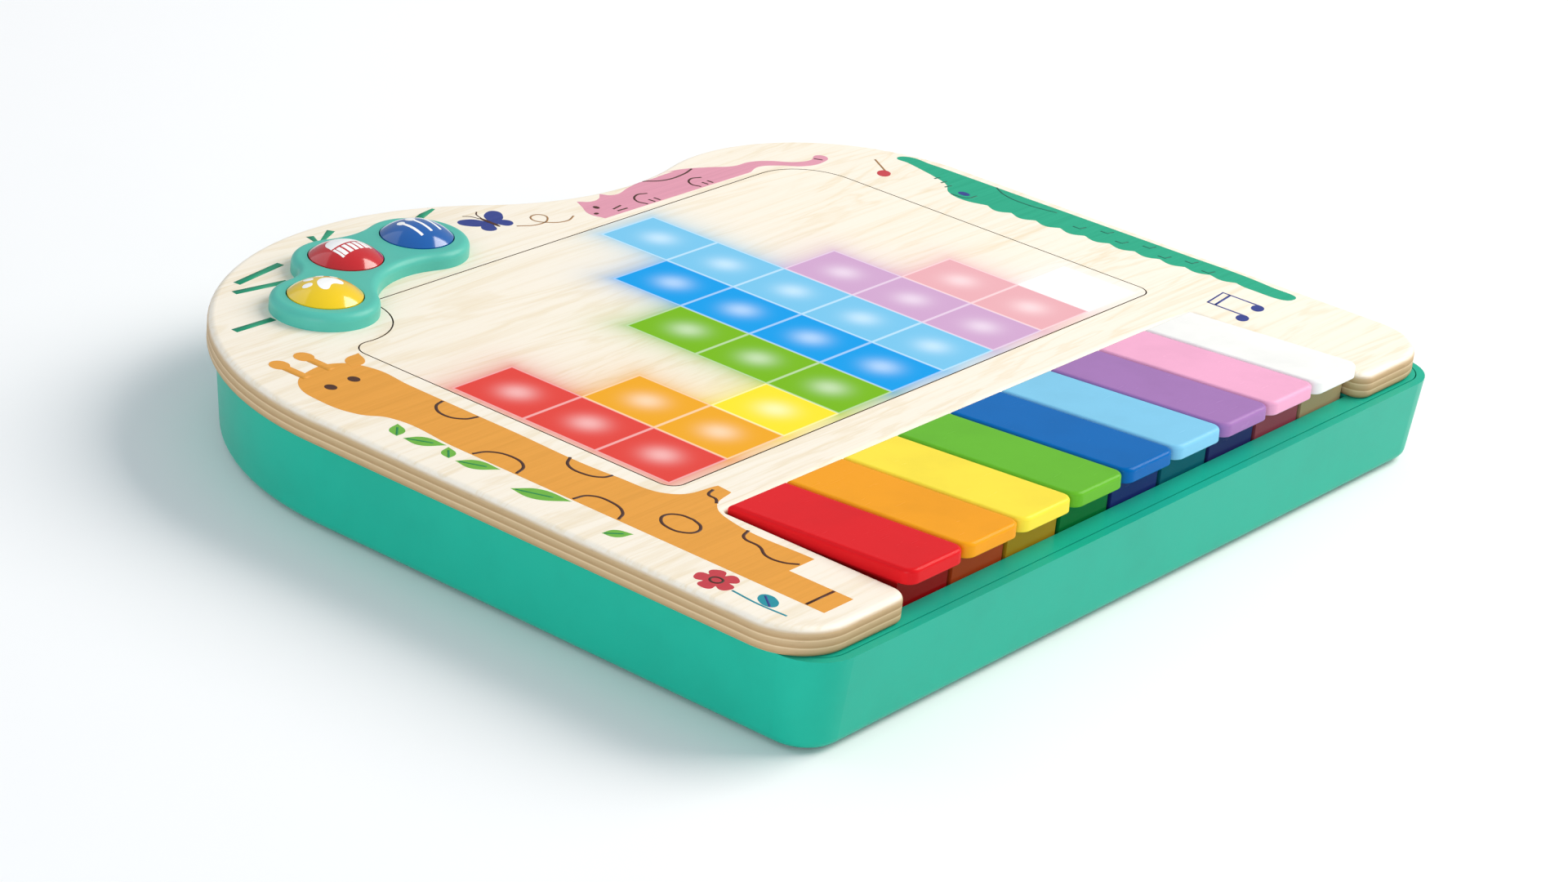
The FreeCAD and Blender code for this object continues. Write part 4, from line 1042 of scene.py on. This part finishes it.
class TOYKEY_OT_stage(Operator):
    """Pale floor, soft studio light and the camera"""

    bl_idname = "toykey.stage"
    bl_label = "Stage"

    def execute(self, context):
        stage = context.scene.toy_keyboard_stage
        self.floor(stage)
        for name, place, size, power, code in LIGHTS:
            self.light(name, place, size, getattr(stage, power), tone(code))
        world = bpy.data.worlds.new("room")
        world.use_nodes = True
        sky = world.node_tree.nodes["Background"]
        sky.inputs["Color"].default_value = solid(stage.sky)
        sky.inputs["Strength"].default_value = stage.sky_strength
        context.scene.world = world
        context.scene.view_settings.view_transform = "Standard"
        self.camera(stage)
        return {"FINISHED"}

    @staticmethod
    def floor(stage):
        """A sheet that is level under the toy and sweeps up far away."""
        reach, level_share, sweep = 14.0, 0.7, 0.15
        rings, around = 24, 96
        sheet = bmesh.new()
        centre = sheet.verts.new((0, 0, 0))
        last = []
        for step in range(1, rings + 1):
            radius = reach * (step / rings) ** 2
            rise = max(0.0, radius - reach * level_share) ** 2 * sweep
            new = []
            for turn in range(around):
                angle = math.tau * turn / around
                new.append(sheet.verts.new((radius * math.cos(angle), radius * math.sin(angle), rise)))
            for turn in range(around):
                after = (turn + 1) % around
                if last:
                    sheet.faces.new((last[turn], new[turn], new[after], last[after]))
                else:
                    sheet.faces.new((centre, new[turn], new[after]))
            last = new
        mesh = bpy.data.meshes.new("floor")
        sheet.to_mesh(mesh)
        sheet.free()
        mesh.shade_smooth()
        finish = Finish("floor paper", {"Specular IOR Level": 0.1})
        fibre = finish.noise((30, 30, 30), 3.0)
        finish.feed("Base Color", finish.mix(solid(shaded(stage.floor, 0.99)), solid(stage.floor), fibre))
        finish.shader.inputs["Roughness"].default_value = 0.9
        mesh.materials.append(finish.material)
        sheet_object = bpy.data.objects.new("floor", mesh)
        bpy.context.scene.collection.objects.link(sheet_object)

    @staticmethod
    def light(name, place, size, power, colour):
        """A square soft light that faces the toy."""
        lamp = bpy.data.lights.new(name, "AREA")
        lamp.size = size
        lamp.energy = power
        lamp.color = colour
        holder = bpy.data.objects.new(name, lamp)
        holder.location = place
        holder.rotation_mode = "QUATERNION"
        holder.rotation_quaternion = (-Vector(place)).to_track_quat("-Z", "Y")
        bpy.context.scene.collection.objects.link(holder)

    @staticmethod
    def camera(stage):
        lens = bpy.data.cameras.new("camera")
        lens.lens = stage.lens
        lens.sensor_width = 36.0
        lens.clip_start = 0.05
        lens.clip_end = 60.0
        holder = bpy.data.objects.new("camera", lens)
        turn = Matrix.Rotation(stage.azimuth, 4, "Z")
        tilt = Matrix.Rotation(math.pi / 2 - stage.elevation, 4, "X")
        lean = Matrix.Rotation(stage.roll, 4, "Z")
        rotation = turn @ tilt @ lean
        away = rotation @ Vector((0, 0, stage.distance))
        holder.matrix_world = Matrix.Translation(Vector(stage.aim) + away) @ rotation
        bpy.context.scene.collection.objects.link(holder)
        bpy.context.scene.camera = holder


OPERATORS = (
    TOYKEY_OT_stage,
    TOYKEY_OT_wood,
    TOYKEY_OT_window,
    TOYKEY_OT_keys,
    TOYKEY_OT_buttons,
    TOYKEY_OT_case,
    TOYKEY_OT_works,
    TOYKEY_OT_prints,
)

SETTINGS = {
    "toy_keyboard_colours": ToyKeyboardColours,
    "toy_keyboard_keys": ToyKeyboardKeys,
    "toy_keyboard_window": ToyKeyboardWindow,
    "toy_keyboard_prints": ToyKeyboardPrints,
    "toy_keyboard_stage": ToyKeyboardStage,
}


class VIEW3D_PT_toykey(Panel):
    """Lists the toy keyboard's operators and settings"""

    bl_label = "Toy keyboard"
    bl_idname = "VIEW3D_PT_toykey"
    bl_space_type = "VIEW_3D"
    bl_region_type = "UI"
    bl_category = "Toy keyboard"

    def draw(self, context):
        for operator in OPERATORS:
            self.layout.operator(operator.bl_idname)
        for name, group in SETTINGS.items():
            column = self.layout.column(heading=group.__doc__)
            for setting in group.__annotations__:
                column.prop(getattr(context.scene, name), setting)


def register():
    for group in (*SETTINGS.values(), *OPERATORS, VIEW3D_PT_toykey):
        bpy.utils.register_class(group)
    for name, group in SETTINGS.items():
        setattr(bpy.types.Scene, name, PointerProperty(type=group))


def unregister():
    for name in SETTINGS:
        delattr(bpy.types.Scene, name)
    for group in (VIEW3D_PT_toykey, *OPERATORS, *SETTINGS.values()):
        bpy.utils.unregister_class(group)


def main():
    register()
    for operator in OPERATORS:
        group, name = operator.bl_idname.split(".")
        getattr(getattr(bpy.ops, group), name)()


if __name__ == "__main__":
    main()
